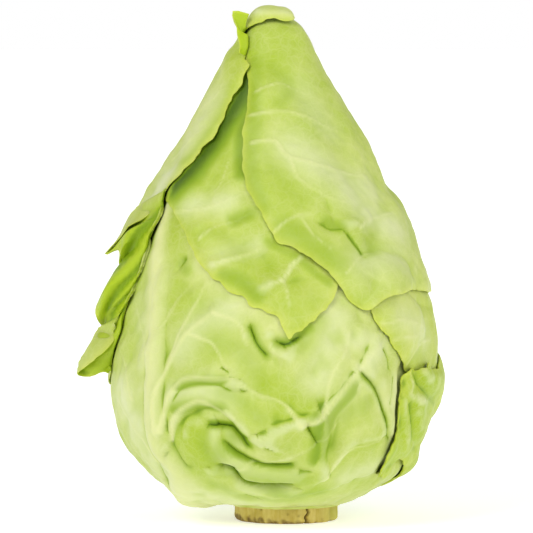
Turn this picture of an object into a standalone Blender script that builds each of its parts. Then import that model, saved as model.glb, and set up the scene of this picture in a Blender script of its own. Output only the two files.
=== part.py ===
"""A pointed cabbage, as cut, standing on its stem with its tip up.

The front faces -Y, +X is to the right and +Z is up. The origin is the centre of the stem's cut face.

The tight head inside is a teardrop turned round the axis. Every leaf is a sheet over that teardrop. A place
on it is a bearing, in degrees from the front and positive towards +X, and a way down from the tip, in
millimetres along the surface. A leaf's height over the teardrop is worked out on a grid of such places,
from the innermost leaf outwards, so that each leaf lies on those beneath it and never cuts them.
"""

import math
from dataclasses import dataclass

import bpy
import numpy as np
from mathutils.geometry import delaunay_2d_cdt

MM = 0.001

# The height of the whole head sets the scale of the front view, which is 533 steps wide and high.
HEAD_HEIGHT = 218.0
STEPS_TALL = 515
STEP = HEAD_HEIGHT / STEPS_TALL
AXIS_COLUMN = 273
GROUND_ROW = 520
STEM_COLUMN = 286
VIEW_MIDDLE = 266.5  # the column and row in the middle of the front view
VIEW_FROM = 2000.0  # how far away the eye is
VIEW_RISE = math.radians(3)  # how far the eye looks down

# The tight head of inner leaves: (radius, height), from the tip down to the stem
HEART_PROFILE = [
    (0, 210.4), (5.5, 209.4), (10.5, 205.4), (14, 199), (18, 191), (24.5, 178), (32, 164), (39.5, 149.5),
    (47.5, 135), (53.5, 120), (58.5, 105), (62.5, 88), (65, 70), (65, 52), (60.5, 36), (50, 23),
    (37.5, 15), (23.6, 10.4),
]
HEART_SIDES = 32
HEART_RINGS = 22
WRAPPED = 5.0  # what the leaves over the heart add to its radius
SEEN_TRIES = 8  # how often a place is tried before it fits what is seen
AXIS_BEND = 15.0  # the length over which the head's axis bends over the stem

STEM_RADIUS = 21.9
STEM_TOP = 9.8
STEM_SIDES = 30
STEM_CORNER = 1.0

LEAF_THICK = 1.2
LEAF_THICKER = 0.5  # added to the thickness at the stem
THICKER_REACH = 25.0  # how far from the stem that fades
LEAF_GAP = 0.9
FACET_REACH = 1.15  # how far a leaf keeps clear of what is beneath its triangles, in edges of them
EDGE_FADE = 5.5  # the width over which folds fade towards a leaf's edge
HIDDEN_FLATTER = 0.8  # how much flatter folds are where a later leaf covers them
SEAT_SOFTENING = 4.0  # how softly a leaf follows the edges beneath it

# Colours, as linear red, green and blue, and roughness
PALE = (0.56, 0.68, 0.25)
GREEN = (0.47, 0.62, 0.16)
BRIGHT = (0.42, 0.58, 0.10)
HEART_COLOUR = (0.72, 0.78, 0.36)
STEM_COLOUR = (0.5, 0.38, 0.12)
LEAF_ROUGHNESS = 0.45
HEART_ROUGHNESS = 0.5
STEM_ROUGHNESS = 0.8
SHARP_ANGLE = math.radians(50)

# Veins that branch off a midrib: their height and half their width
VEIN_RISE = 1.7
VEIN_WIDTH = 3.6

# The grid of places on which heights are worked out
GRID_DOWN = 1.5
GRID_COLUMNS = 360


def bend(a, b, c, d, count):
    """Points from b to just before c on the Catmull-Rom curve through four points."""
    t = (np.arange(count) / count)[:, None]
    return 0.5 * (2 * b + (c - a) * t + (2 * a - 5 * b + 4 * c - d) * t**2 + (3 * b - a - 3 * c + d) * t**3)


def smooth_line(points, step):
    """Points about a step apart on the Catmull-Rom curve through the given ones."""
    points = np.array(points, float)
    ends = np.vstack([2 * points[0] - points[1], points, 2 * points[-1] - points[-2]])
    out = []
    for a, b, c, d in zip(ends, ends[1:], ends[2:], ends[3:]):
        out.append(bend(a, b, c, d, max(1, math.ceil(np.linalg.norm((c - b)[:2]) / step))))
    return np.vstack([*out, points[-1:]])


def head_curve():
    """(way down, radius, height, outward normal's two parts) along the teardrop's outline."""
    line = smooth_line(HEART_PROFILE, 0.5)
    line[:, 0] = np.maximum(line[:, 0], 0)
    along = np.gradient(line, axis=0)
    along /= np.linalg.norm(along, axis=1)[:, None]
    down = np.concatenate([[0], np.cumsum(np.linalg.norm(np.diff(line, axis=0), axis=1))])
    return down, line[:, 0], line[:, 1], -along[:, 1], along[:, 0]


DOWN, RADIUS, HEIGHT, OUT_RADIAL, OUT_UP = head_curve()
LENGTH = DOWN[-1]
LEAST_RADIUS = 3.0  # keeps the map of places finite at the tip


def radius_at(down):
    return np.interp(down, DOWN, RADIUS)


def axis_at(down):
    """How far to the right of the stem's middle the head's axis is, which bends over the stem at the foot."""
    part = np.clip((LENGTH - down) / AXIS_BEND, 0, 1)
    return (AXIS_COLUMN - STEM_COLUMN) * STEP * part * part * (3 - 2 * part)


def place(bearing, down, lift):
    """Points in space, in metres, of places given as bearing in radians, way down and lift in millimetres."""
    radius = radius_at(down) + lift * np.interp(down, DOWN, OUT_RADIAL)
    height = np.interp(down, DOWN, HEIGHT) + lift * np.interp(down, DOWN, OUT_UP)
    return np.stack([axis_at(down) + radius * np.sin(bearing), -radius * np.cos(bearing), height], -1) * MM


# Ways of giving a place by hand. Each returns (bearing in degrees, way down in millimetres).


def seen(column, row):
    """The place seen from the front at a column and row of the front view."""
    radius = RADIUS + WRAPPED * OUT_RADIAL
    height = HEIGHT + WRAPPED * OUT_UP
    middle_x, middle_z = (VIEW_MIDDLE - STEM_COLUMN) * STEP, (GROUND_ROW - VIEW_MIDDLE) * STEP
    nearer = 0.0
    for _ in range(SEEN_TRIES):
        share = 1 - nearer / VIEW_FROM
        level = middle_z + (VIEW_MIDDLE - row) * STEP * share + nearer * math.tan(VIEW_RISE)
        down = np.interp(-level, -height, DOWN)
        across = middle_x + (column - VIEW_MIDDLE) * STEP * share - axis_at(down)
        wide = np.interp(down, DOWN, radius)
        bearing = math.asin(max(-0.995, min(0.995, across / wide)))
        nearer = wide * math.cos(bearing)
    return math.degrees(bearing), float(down)


def at(bearing, height):
    """The place at a bearing and at a height on the tight head."""
    return bearing, float(np.interp(-height, -HEIGHT, DOWN))


def near_tip(bearing, down):
    return bearing, down


def at_stem(bearing):
    return bearing, LENGTH


def side_veins(bearing, heights, turn, climb, side=(-1, 1)):
    """Raised lines that leave a midrib at the given heights, to its sides, and climb towards the tip."""
    lines = []
    for height in heights:
        for way in side:
            bow = at(bearing + way * 0.5 * turn, height + 0.3 * climb)
            lines.append((VEIN_RISE, 0.5 * VEIN_RISE, VEIN_WIDTH, [
                at(bearing, height), bow, at(bearing + way * turn, height + climb),
            ]))
    return lines


# The grid of places


ROWS = np.arange(0, LENGTH + GRID_DOWN, GRID_DOWN)
BEARINGS = np.radians(np.arange(GRID_COLUMNS) * 360 / GRID_COLUMNS - 180)
ROW_RADIUS = np.maximum(radius_at(ROWS), LEAST_RADIUS)
COLUMN_WIDTH = ROW_RADIUS * 2 * math.pi / GRID_COLUMNS


def widest(field, reach):
    """The highest value within reach of each place, given in millimetres for each row."""
    out = field.copy()
    for _ in range(math.ceil(np.max(reach) / GRID_DOWN)):
        out = np.maximum(out, np.maximum(np.vstack([out[1:], out[-1:]]), np.vstack([out[:1], out[:-1]])))
    for row, width in enumerate(COLUMN_WIDTH):
        left = min(GRID_COLUMNS // 2, math.ceil(reach[row] / width))
        line, done = out[row], 0
        while left:
            step = min(left, done + 1)
            line = np.maximum(line, np.maximum(np.roll(line, step), np.roll(line, -step)))
            done, left = done + step, left - step
        out[row] = line
    return out


def softened(field, reach):
    """The field averaged twice over a window of plus and minus reach."""
    out = field.astype(float)
    half = max(1, round(reach / GRID_DOWN))
    for _ in range(2):
        tall = np.vstack([np.repeat(out[:1], half, 0), out, np.repeat(out[-1:], half, 0)])
        total = np.vstack([np.zeros((1, GRID_COLUMNS)), np.cumsum(tall, 0)])
        out = (total[2 * half + 1:] - total[:-2 * half - 1]) / (2 * half + 1)
        for row, width in enumerate(COLUMN_WIDTH):
            side = min(GRID_COLUMNS // 2 - 1, max(1, round(reach / width)))
            line = np.concatenate([out[row][-side:], out[row], out[row][:side]])
            total = np.concatenate([[0], np.cumsum(line)])
            out[row] = (total[2 * side + 1:] - total[:-2 * side - 1]) / (2 * side + 1)
    return out


def read(field, bearing, down):
    """The field's values at places, between the grid's own."""
    u = (np.degrees(bearing) + 180) / 360 * GRID_COLUMNS
    v = np.clip(down / GRID_DOWN, 0, len(ROWS) - 1.001)
    u0, v0 = np.floor(u).astype(int), np.floor(v).astype(int)
    fu, fv = u - u0, v - v0
    a, b = u0 % GRID_COLUMNS, (u0 + 1) % GRID_COLUMNS
    upper = field[v0, a] * (1 - fu) + field[v0, b] * fu
    lower = field[v0 + 1, a] * (1 - fu) + field[v0 + 1, b] * fu
    return upper * (1 - fv) + lower * fv


def off_line(bearing, down, line):
    """(distance, signed side, part of the way along) of places from a line of (bearing in degrees, down)."""
    angle, level = np.radians(line[:, 0]), line[:, 1]
    best = np.full(bearing.shape, 1e9)
    side = np.zeros(bearing.shape)
    part = np.zeros(bearing.shape)
    scale = np.maximum(radius_at(down), LEAST_RADIUS)
    for i in range(len(line) - 1):
        x = ((bearing - angle[i] + math.pi) % (2 * math.pi) - math.pi) * scale
        y = down - level[i]
        dx, dy = (angle[i + 1] - angle[i]) * scale, level[i + 1] - level[i]
        t = np.clip((x * dx + y * dy) / (dx * dx + dy * dy + 1e-9), 0, 1)
        away = np.hypot(x - t * dx, y - t * dy)
        nearer = away < best
        best = np.where(nearer, away, best)
        side = np.where(nearer, x * dy - y * dx, side)
        part = np.where(nearer, (i + t) / (len(line) - 1), part)
    return best, side, part


MAP_REACH = np.expm1(np.concatenate([[0], np.cumsum(np.diff(DOWN) / np.hypot(RADIUS[1:], LEAST_RADIUS))]))


def map_point(bearing, down):
    """Where a place lies on a flat map of the head, with the tip in its middle. Small shapes keep angles."""
    away = np.interp(down, DOWN, MAP_REACH)
    return np.stack([away * np.sin(bearing), -away * np.cos(bearing)], -1)


def from_map(points):
    """The places, as (bearing, down), of map points."""
    return np.arctan2(points[:, 0], -points[:, 1]), np.interp(np.hypot(*points.T), MAP_REACH, DOWN)


def within(points, ring):
    """Whether each map point is inside the closed ring."""
    found = np.zeros(len(points), bool)
    for (x0, y0), (x1, y1) in zip(ring, np.roll(ring, -1, 0)):
        crossed = (points[:, 1] < y0) != (points[:, 1] < y1)
        with np.errstate(divide="ignore", invalid="ignore"):
            where = x0 + (points[:, 1] - y0) * (x1 - x0) / (y1 - y0)
        found ^= crossed & (points[:, 0] < where)
    return found


def finer(facet, down):
    """The length of a facet's edge, given for the upper and the lower half, which is less near the tip."""
    return np.minimum(np.interp(down, [0.4 * LENGTH, 0.55 * LENGTH], facet), 2.4 + 0.2 * radius_at(down))


def outline_places(outline, facet):
    """Places round a closed outline: its own, and others about a facet's edge apart between them."""
    corners = np.array([*outline, outline[0]])
    corners[:, 0] = np.degrees(np.unwrap(np.radians(corners[:, 0])))
    turn = corners[-1] - corners[0]
    ends = np.vstack([corners[-2] - turn, corners, corners[1] + turn])
    out = []
    for a, b, c, d in zip(ends, ends[1:], ends[2:], ends[3:]):
        down = (b[1] + c[1]) / 2
        length = math.hypot(math.radians(c[0] - b[0]) * radius_at(down), c[1] - b[1])
        out.append(bend(a, b, c, d, max(1, round(length / float(finer(facet, down))))))
    places = np.vstack(out)
    return np.radians(places[:, 0]), np.minimum(places[:, 1], LENGTH)


def filled(outline, facet):
    """(bearing, down, triangles, how many places are on the edge) of a net of triangles within an outline."""
    edge_bearing, edge_down = outline_places(outline, facet)
    ring = map_point(edge_bearing, edge_down)
    bearing, down = [], []
    level = float(finer(facet, 0)) / 2
    while level < LENGTH:
        edge = finer(facet, level)
        count = max(3, round(2 * math.pi * radius_at(level) / edge))
        bearing.append((np.arange(count) + len(down) % 2 / 2) * 2 * math.pi / count - math.pi)
        down.append(np.full(count, level))
        level += edge * 0.87
    bearing, down = np.concatenate(bearing), np.concatenate(down)
    inside = within(map_point(bearing, down), ring)
    line = np.stack([np.degrees(edge_bearing), edge_down], 1)
    clear = off_line(bearing, down, np.vstack([line, line[:1]]))[0] > 0.6 * finer(facet, down)
    bearing, down = bearing[inside & clear], down[inside & clear]
    net = delaunay_2d_cdt(
        [*map(tuple, ring), *map(tuple, map_point(bearing, down))], [], [list(range(len(ring)))], 1, 0.0
    )
    source = [origins[0] for origins in net[3]]
    bearing = np.concatenate([edge_bearing, bearing])[source]
    down = np.concatenate([edge_down, down])[source]
    triangles = np.array(net[2])
    (ax, ay), (bx, by), (cx, cy) = map_point(bearing, down)[triangles].transpose(1, 2, 0)
    inward = (bx - ax) * (cy - ay) < (cx - ax) * (by - ay)
    triangles[inward] = triangles[inward][:, ::-1]
    return bearing, down, triangles


@dataclass
class Leaf:
    """One leaf. Its facet is the edge of its triangles, in millimetres, in its upper and its lower half."""

    name: str
    outline: list
    folds: list
    flares: list
    facet: tuple
    colour: tuple
    stand: float = 0.3  # how far its middle stands off what is beneath it
    rolls: bool = False


# The leaves. Outlines run once round each leaf.

LEAF_LOW_RIGHT = [
    seen(412, 370), seen(406, 376), seen(405, 388), seen(401, 402), seen(402, 416), seen(402, 430),
    seen(398, 444), seen(390, 458), seen(379, 473), seen(390, 474), seen(399, 467), seen(405, 464),
    at(94, 21), at(104, 16), at_stem(113), at_stem(134), at(134, 32), at(126, 48),
    at(113, 62), at(98, 70), seen(434, 371), seen(430, 366), seen(422, 370),
]
LEAF_FRONT = [
    at_stem(-80), at_stem(10), at_stem(116), at(110, 30), at(84, 30), seen(379, 478), seen(390, 462),
    seen(397, 446), seen(399, 420), seen(401, 400), seen(405, 366), at(66, 82), at(62, 98), at(46, 112),
    at(28, 106), at(10, 99), at(-12, 110), at(-32, 128), at(-46, 148), at(-57, 148), at(-66, 124),
    at(-73, 98), at(-80, 76), at(-92, 56), at(-102, 36), at(-98, 20),
]
LEAF_OVER = [
    seen(167, 200), seen(176, 216), seen(184, 234), seen(194, 255), seen(208, 272), seen(226, 288),
    seen(243, 298), seen(252, 306), seen(264, 311), seen(274, 316), seen(281, 324), seen(285, 331),
    seen(288, 340), seen(296, 334), seen(304, 328), seen(319, 316), seen(329, 306), seen(334, 298),
    seen(340, 287), at(38, 112), at(38, 138), at(26, 170), at(-10, 188), at(-60, 196),
    at(-120, 196), at(-156, 178), at(-178, 148), at(-190, 108), at(-196, 58), at(-190, 23), at_stem(-187),
    at_stem(-147), at(-135, 28), at(-126, 58), at(-114, 93), at(-92, 120), at(-70, 136),
]
LEAF_RIGHT = [
    seen(372, 309), seen(374, 317), seen(377, 325), seen(388, 339), seen(399, 354), seen(406, 363),
    seen(418, 374), at(80, 56), at(96, 46), at(114, 34), at_stem(131), at_stem(148), at(148, 38),
    at(146, 78), at(142, 110), at(120, 132), at(86, 136), at(60, 126), at(46, 112), at(42, 98),
]
LEAF_CAP = [
    seen(247, 30), seen(248, 66), seen(248, 86), seen(246, 103), seen(242, 140), seen(243, 172),
    seen(247, 188), seen(255, 201), seen(264, 217), seen(272, 231), seen(273, 236), seen(277, 241),
    seen(289, 244), seen(305, 254), seen(321, 265), seen(335, 279), seen(343, 291), seen(354, 304),
    seen(364, 310), seen(372, 308), seen(381, 300), seen(396, 295), seen(410, 290), seen(419, 290),
    at(78, 96), at(96, 94), at(114, 82), at(126, 54), at(135, 32), at(151, 13), at(172, 13), at(176, 43),
    at(186, 88), at(194, 133), at(204, 170), near_tip(225, 14), near_tip(262, 9), near_tip(296, 10),
]

# Raised or sunk lines: (height or depth at its start and end, half its width, places along it)

FRONT_FOLDS = [
    (1.5, 5.0, 4.8, [seen(166, 204), seen(157, 240), seen(152, 290), seen(149, 340), seen(148, 395),
                     seen(154, 435), seen(171, 470), seen(198, 499), at_stem(-52)]),
    (-0.6, -1.8, 3.0, [seen(166, 250), seen(163, 300), seen(163, 350), seen(165, 396), seen(174, 436),
                       seen(190, 468)]),
    (2.6, 1.6, 3.8, [seen(165, 400), seen(190, 378), seen(236, 381)]),
    (1.6, 1.0, 3.4, [seen(166, 372), seen(188, 334), seen(214, 313)]),
    (3.2, 2.8, 3.8, [seen(176, 424), seen(190, 406), seen(206, 402), seen(232, 412), seen(252, 430),
                     seen(277, 430)]),
    (2.0, 3.4, 4.4, [seen(378, 346), seen(350, 382), seen(320, 416), seen(300, 425), seen(277, 430)]),
    (-3.0, -2.2, 3.4, [seen(364, 396), seen(350, 418), seen(338, 440)]),
    (2.6, 2.0, 3.6, [seen(321, 420), seen(323, 440), seen(318, 464)]),
    (-4.2, -3.0, 3.4, [seen(212, 427), seen(236, 432), seen(252, 447)]),
    (3.2, 2.6, 3.6, [seen(214, 436), seen(236, 452), seen(262, 468), seen(294, 470)]),
    (-3.8, -3.0, 3.0, [seen(222, 470), seen(242, 483), seen(266, 487), seen(290, 484)]),
    (2.2, 2.0, 4.0, [seen(372, 436), seen(350, 444), seen(320, 480)]),
    (-3.2, -2.2, 3.0, [seen(362, 373), seen(376, 390), seen(384, 412), seen(388, 432)]),
    (1.8, 1.8, 4.0, [seen(396, 372), seen(392, 400), seen(394, 430)]),
    (-2.2, -1.4, 3.6, [seen(300, 436), seen(306, 450), seen(300, 460)]),
    (1.8, 1.6, 4.0, [seen(270, 350), seen(290, 366), seen(294, 392)]),
    (-1.8, -1.6, 3.8, [seen(248, 332), seen(258, 348), seen(268, 360)]),
    (1.4, 1.0, 3.6, [seen(336, 300), seen(320, 332), seen(300, 366)]),
]
OVER_FOLDS = [
    (2.2, 1.0, 4.5, [seen(262, 290), seen(285, 274), seen(303, 254)]),
    (1.2, 0.8, 5.0, [seen(205, 270), seen(240, 257), seen(268, 238)]),
    (-1.4, -1.4, 4.0, [seen(235, 218), seen(250, 210)]),
    (0.6, 3.4, 4.6, [at(-150, 163), at(-163, 98), at_stem(-167)]),
]
RIGHT_FOLDS = [
    (0.8, 1.4, 5.0, [at(120, 126), at(126, 78), at_stem(139)]),
    (3.0, 2.0, 14.0, [at(82, 90), at(82, 66)]),
    (1.4, 1.0, 4.5, [seen(380, 325), seen(405, 322), seen(428, 330)]),
    (-1.4, -1.0, 4.5, [seen(404, 288), seen(418, 300), seen(430, 306)]),
]
CAP_FOLDS = [
    (1.2, 1.0, 4.0, [seen(252, 143), seen(276, 142), seen(292, 157), seen(330, 168), seen(366, 174)]),
    (1.0, 1.0, 4.0, [seen(272, 234), seen(286, 222), seen(316, 212)]),
    (-2.4, -2.0, 4.0, [seen(322, 227), seen(346, 231), seen(362, 250)]),
    (1.6, 1.0, 5.5, [seen(296, 240), seen(330, 258), seen(356, 288)]),
    (1.6, 1.2, 5.0, [seen(358, 229), seen(372, 221), seen(396, 214)]),
    (1.0, 2.0, 4.6, [near_tip(160, 20), at(152, 148), at(149, 78), at_stem(160)]),
    (0.2, 2.4, 16.0, [at(80, 196), at(80, 156)]),
    *side_veins(149, (44, 64, 90, 108, 134, 150), 30, 26),
]
LOW_RIGHT_FOLDS = [
    (1.6, 0.4, 5.0, [at(104, 64), at(116, 38), at_stem(128)]),
    (1.4, 1.0, 3.6, [seen(411, 374), seen(413, 386), seen(410, 396), seen(418, 402), seen(430, 404)]),
    (1.2, 0.8, 3.6, [seen(407, 400), seen(408, 422), seen(413, 444)]),
]

# The left leaf's front edge, from the tip down: a place, and how wide the leaf's turned-back strip is there
LEFT_CREST = [
    (*near_tip(84, 12), 0.5), (*near_tip(50, 10), 0.5), (*near_tip(14, 8.5), 0.5), (*near_tip(-24, 8.2), 0.5),
    (*near_tip(-54, 9), 1), (*near_tip(-66, 11), 4), (*near_tip(-56, 15), 3.5), (*seen(245, 42), 2),
    (*seen(246, 62), 1), (*seen(243, 80), 0.5), (*seen(229, 103), 0.5), (*seen(216, 128), 0.5),
    (*seen(202, 146), 0.5), (*seen(181, 176), 0.5), (*seen(168, 192), 3), (*seen(161, 208), 9),
    (*seen(156, 224), 14), (*seen(150, 240), 19), (*seen(143, 258), 13), (*seen(137, 275), 15),
    (*seen(130, 293), 14), (*seen(123, 314), 9), (*seen(118, 331), 13), (*seen(113, 346), 19),
    (*seen(112, 359), 16), (*seen(110, 371), 4),
]
LEFT_REST = [
    at(-88, 58), at(-97, 52), at(-102, 38), at(-104, 22), at_stem(-106), at_stem(-144), at(-156, 34),
    at(-168, 73), at(-174, 118), at(-170, 158), at(-174, 188), near_tip(-190, 14), near_tip(-230, 11),
    near_tip(-258, 11),
]
LEFT_FOLDS = [
    (1.0, 4.6, 4.6, [at(-132, 188), at(-130, 118), at(-126, 58), at_stem(-126)]),
    (1.6, 1.2, 5.0, [near_tip(-60, 4), near_tip(0, 3), near_tip(60, 4)]),
    *side_veins(-128, (38, 58, 84, 101, 125, 142, 158), 30, 28),
]
ROLL_RADIUS = 3.0
ROLL_TURN = math.radians(105)
ROLL_DROOP = 0.4  # how far the turned strip sinks for each unit it rises

# Edges that stand away from the head: (height at the line's start and end, half its width, places along it)
LOW_RIGHT_FLARE = [
    (1.0, 2.5, 5.0, [seen(406, 375), seen(401, 412), seen(402, 430), seen(389, 460), seen(378, 476)]),
]
FRONT_FLARE = [(2.2, 2.6, 5.0, [seen(380, 478), seen(398, 444), seen(401, 420), seen(402, 394)])]
CAP_FLARE = [(1.5, 1.5, 6.0, [seen(416, 288), at(84, 94), at(100, 94)])]
LEFT_FLARE = [
    (5.0, 5.0, 3.6, [near_tip(-70, 10), near_tip(-60, 14)]),
    (2.0, 2.0, 3.6, [near_tip(-30, 8), near_tip(20, 8)]),
    (1.5, 1.5, 4.0, [seen(168, 196), seen(160, 206)]),
]
OVER_FLARE = [
    (1.0, 1.0, 4.0, [seen(186, 240), seen(190, 248)]),
    (1.2, 1.2, 4.0, [seen(226, 290), seen(240, 302)]),
    (1.4, 1.4, 4.0, [seen(276, 326), seen(288, 340), seen(302, 330)]),
]


def folded(folds, softening):
    """The sum of the raised and sunk lines, as a field on the grid."""
    bearing, down = np.meshgrid(BEARINGS, ROWS)
    total = np.zeros(bearing.shape)
    for first, last, width, places in folds:
        away, _, part = off_line(bearing, down, smooth_line(places, 4.0))
        spread = math.hypot(width, softening)
        total += (first + (last - first) * part) * width / spread * np.exp(-((away / spread) ** 2))
    return total


def left_outline():
    """The left leaf laid flat on the head: its crest moved out by the strip's width, and the rest."""
    crest = np.array(LEFT_CREST)
    points = map_point(np.radians(crest[:, 0]), crest[:, 1])
    along = np.gradient(points, axis=0)
    along /= np.linalg.norm(along, axis=1)[:, None]
    scale = np.interp(crest[:, 1], DOWN, np.gradient(MAP_REACH, DOWN))
    moved = points + np.stack([-along[:, 1], along[:, 0]], 1) * (crest[:, 2] * scale)[:, None]
    bearing, down = from_map(moved)
    return [*zip(np.degrees(bearing), down)] + LEFT_REST


def rolled(bearing, down, lift):
    """Places with the left leaf's strip beyond its crest turned up and back."""
    line = smooth_line(LEFT_CREST, 4.0)
    away, side, part = off_line(bearing, down, line)
    width = np.interp(part * (len(line) - 1), np.arange(len(line)), line[:, 2])
    beyond = np.where((side > 0) & (away < 1.5 * width + 1), away, 0.0)
    turn = np.minimum(beyond / ROLL_RADIUS, ROLL_TURN)
    straight = beyond - turn * ROLL_RADIUS
    forward = ROLL_RADIUS * np.sin(turn) + straight * np.cos(ROLL_TURN)
    raised = ROLL_RADIUS * (1 - np.cos(turn)) + straight * np.sin(ROLL_TURN)
    where = part * (len(line) - 1)
    foot_bearing = np.radians(np.interp(where, np.arange(len(line)), line[:, 0]))
    foot_down = np.interp(where, np.arange(len(line)), line[:, 1])
    foot_down += raised * ROLL_DROOP * np.clip(foot_down / 80, 0, 1)
    share = np.where(beyond > 0, forward / np.maximum(beyond, 1e-6), 1.0)
    turned = (bearing - foot_bearing + math.pi) % (2 * math.pi) - math.pi
    moved = beyond > 0
    return (
        np.where(moved, foot_bearing + turned * share, bearing),
        np.where(moved, foot_down + (down - foot_down) * share, down),
        lift + raised,
    )


def inside_grid(outline):
    """1 within the outline and 0 outside it, on the grid."""
    bearing, down = np.meshgrid(BEARINGS, ROWS)
    ring = map_point(*outline_places(outline, (3, 3)))
    return within(map_point(bearing.ravel(), down.ravel()), ring).reshape(bearing.shape)


def solid(name, points, triangles, colour, roughness):
    """One closed mesh object of the points, with its material."""
    mesh = bpy.data.meshes.new(name)
    mesh.from_pydata([tuple(p) for p in points], [], [tuple(int(i) for i in t) for t in triangles])
    mesh.shade_smooth()
    mesh.set_sharp_from_angle(angle=SHARP_ANGLE)
    material = bpy.data.materials.new(name)
    material.use_nodes = True
    shader = material.node_tree.nodes["Principled BSDF"]
    shader.inputs["Base Color"].default_value = (*colour, 1)
    shader.inputs["Roughness"].default_value = roughness
    shader.inputs["Metallic"].default_value = 0
    mesh.materials.append(material)
    made = bpy.data.objects.new(name, mesh)
    bpy.context.scene.collection.objects.link(made)
    return made


def sheet(leaf, inner, thick):
    """Makes a leaf with its inner face at the given height over the head, and its outer face outside that."""
    bearing, down, triangles = filled(leaf.outline, leaf.facet)
    places = (bearing, down, read(inner, bearing, down))
    inner_points = place(*(rolled(*places) if leaf.rolls else places))
    corners = inner_points[triangles]
    normals = np.cross(corners[:, 1] - corners[:, 0], corners[:, 2] - corners[:, 0])
    outward = np.zeros(inner_points.shape)
    for corner in range(3):
        np.add.at(outward, triangles[:, corner], normals)
    outward /= np.linalg.norm(outward, axis=1)[:, None]
    outer_points = inner_points + outward * read(thick, bearing, down)[:, None] * MM
    count = len(inner_points)
    edges = np.concatenate([triangles[:, [0, 1]], triangles[:, [1, 2]], triangles[:, [2, 0]]])
    known = {(a, b) for a, b in edges.tolist()}
    rim = [(a, b) for a, b in edges.tolist() if (b, a) not in known]
    sides = [(a, b, b + count) for a, b in rim] + [(a, b + count, a + count) for a, b in rim]
    faces = np.concatenate([triangles + count, triangles[:, ::-1], np.array(sides)])
    solid(leaf.name, np.concatenate([inner_points, outer_points]), faces, leaf.colour, LEAF_ROUGHNESS)


def add_leaf(leaf, ground, hidden):
    """Makes a leaf over the ground and returns the ground with it. Folds are low where a leaf hides it."""
    mask = inside_grid(leaf.outline)
    reach = FACET_REACH * finer(leaf.facet, ROWS)
    floor = widest(ground, reach) + LEAF_GAP
    body = np.clip(2 * softened(mask, EDGE_FADE) - 1, 0, 1)
    shown = 1 - HIDDEN_FLATTER * softened(hidden, EDGE_FADE)
    relief = folded(leaf.folds, 0.4 * min(leaf.facet)) * body * shown + folded(leaf.flares, 1.0)
    inner = np.maximum(softened(floor, SEAT_SOFTENING) + leaf.stand * body + relief, floor)
    thicker = LEAF_THICKER * np.exp(-(LENGTH - ROWS) / THICKER_REACH)
    thick = LEAF_THICK + np.repeat(thicker[:, None], GRID_COLUMNS, 1)
    sheet(leaf, inner, thick)
    down_slope = np.gradient(inner, axis=0) / GRID_DOWN
    side_slope = np.gradient(inner, axis=1) / COLUMN_WIDTH[:, None]
    slope = np.minimum(np.hypot(down_slope, side_slope), 1)
    return np.where(mask, inner + thick * np.sqrt(1 + slope**2), ground)


def heart():
    """The tight head of inner leaves: a closed teardrop."""
    levels = LENGTH * np.linspace(0, 1, HEART_RINGS + 1)[1:]
    bearing = np.arange(HEART_SIDES) * 2 * math.pi / HEART_SIDES
    rings = [place(bearing, np.full(HEART_SIDES, level), 0.0) for level in levels]
    tip, foot = place(0.0, 0.0, 0.0), place(0.0, LENGTH, 0.0)
    foot[0], foot[1] = place(0.0, 0.0, 0.0)[:2]
    points = np.vstack([tip[None], *rings, foot[None]])
    faces = []
    for side in range(HEART_SIDES):
        turn = (side + 1) % HEART_SIDES
        faces.append((0, 1 + side, 1 + turn))
        for ring in range(HEART_RINGS - 1):
            a, b = 1 + ring * HEART_SIDES + side, 1 + ring * HEART_SIDES + turn
            faces += [(a, a + HEART_SIDES, b + HEART_SIDES), (a, b + HEART_SIDES, b)]
        last = 1 + (HEART_RINGS - 1) * HEART_SIDES
        faces.append((last + side, len(points) - 1, last + turn))
    solid("inner_head", points, faces, HEART_COLOUR, HEART_ROUGHNESS)


def stem():
    """The cut stem: a short round stump with a softened rim, flat where it was cut."""
    levels = [(STEM_RADIUS - STEM_CORNER, 0), (STEM_RADIUS, STEM_CORNER), (STEM_RADIUS, STEM_TOP)]
    points = [(0, 0, 0)]
    for radius, height in levels:
        for side in range(STEM_SIDES):
            turn = 2 * math.pi * side / STEM_SIDES
            points.append((radius * math.cos(turn), radius * math.sin(turn), height))
    points.append((0, 0, STEM_TOP))
    faces = []
    for side in range(STEM_SIDES):
        turn = (side + 1) % STEM_SIDES
        faces.append((0, 1 + turn, 1 + side))
        for ring in range(len(levels) - 1):
            a, b = 1 + ring * STEM_SIDES + side, 1 + ring * STEM_SIDES + turn
            faces += [(a, b, b + STEM_SIDES), (a, b + STEM_SIDES, a + STEM_SIDES)]
        last = 1 + (len(levels) - 1) * STEM_SIDES
        faces.append((last + side, last + turn, len(points) - 1))
    solid("cut_stem", np.array(points, float) * MM, faces, STEM_COLOUR, STEM_ROUGHNESS)


# From the innermost leaf to the outermost
LEAVES = [
    Leaf("leaf_front", LEAF_FRONT, FRONT_FOLDS, FRONT_FLARE, (9.0, 4.3), PALE, stand=1.2),
    Leaf("leaf_over", LEAF_OVER, OVER_FOLDS, OVER_FLARE, (6.5, 7.0), GREEN),
    Leaf("leaf_right", LEAF_RIGHT, RIGHT_FOLDS, [], (8.0, 7.0), GREEN),
    Leaf("leaf_low_right", LEAF_LOW_RIGHT, LOW_RIGHT_FOLDS, LOW_RIGHT_FLARE, (6.0, 5.5), GREEN),
    Leaf("leaf_cap", LEAF_CAP, CAP_FOLDS, CAP_FLARE, (6.0, 6.5), GREEN),
    Leaf("leaf_left", left_outline(), LEFT_FOLDS, LEFT_FLARE, (5.5, 6.0), BRIGHT, rolls=True),
]


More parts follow.
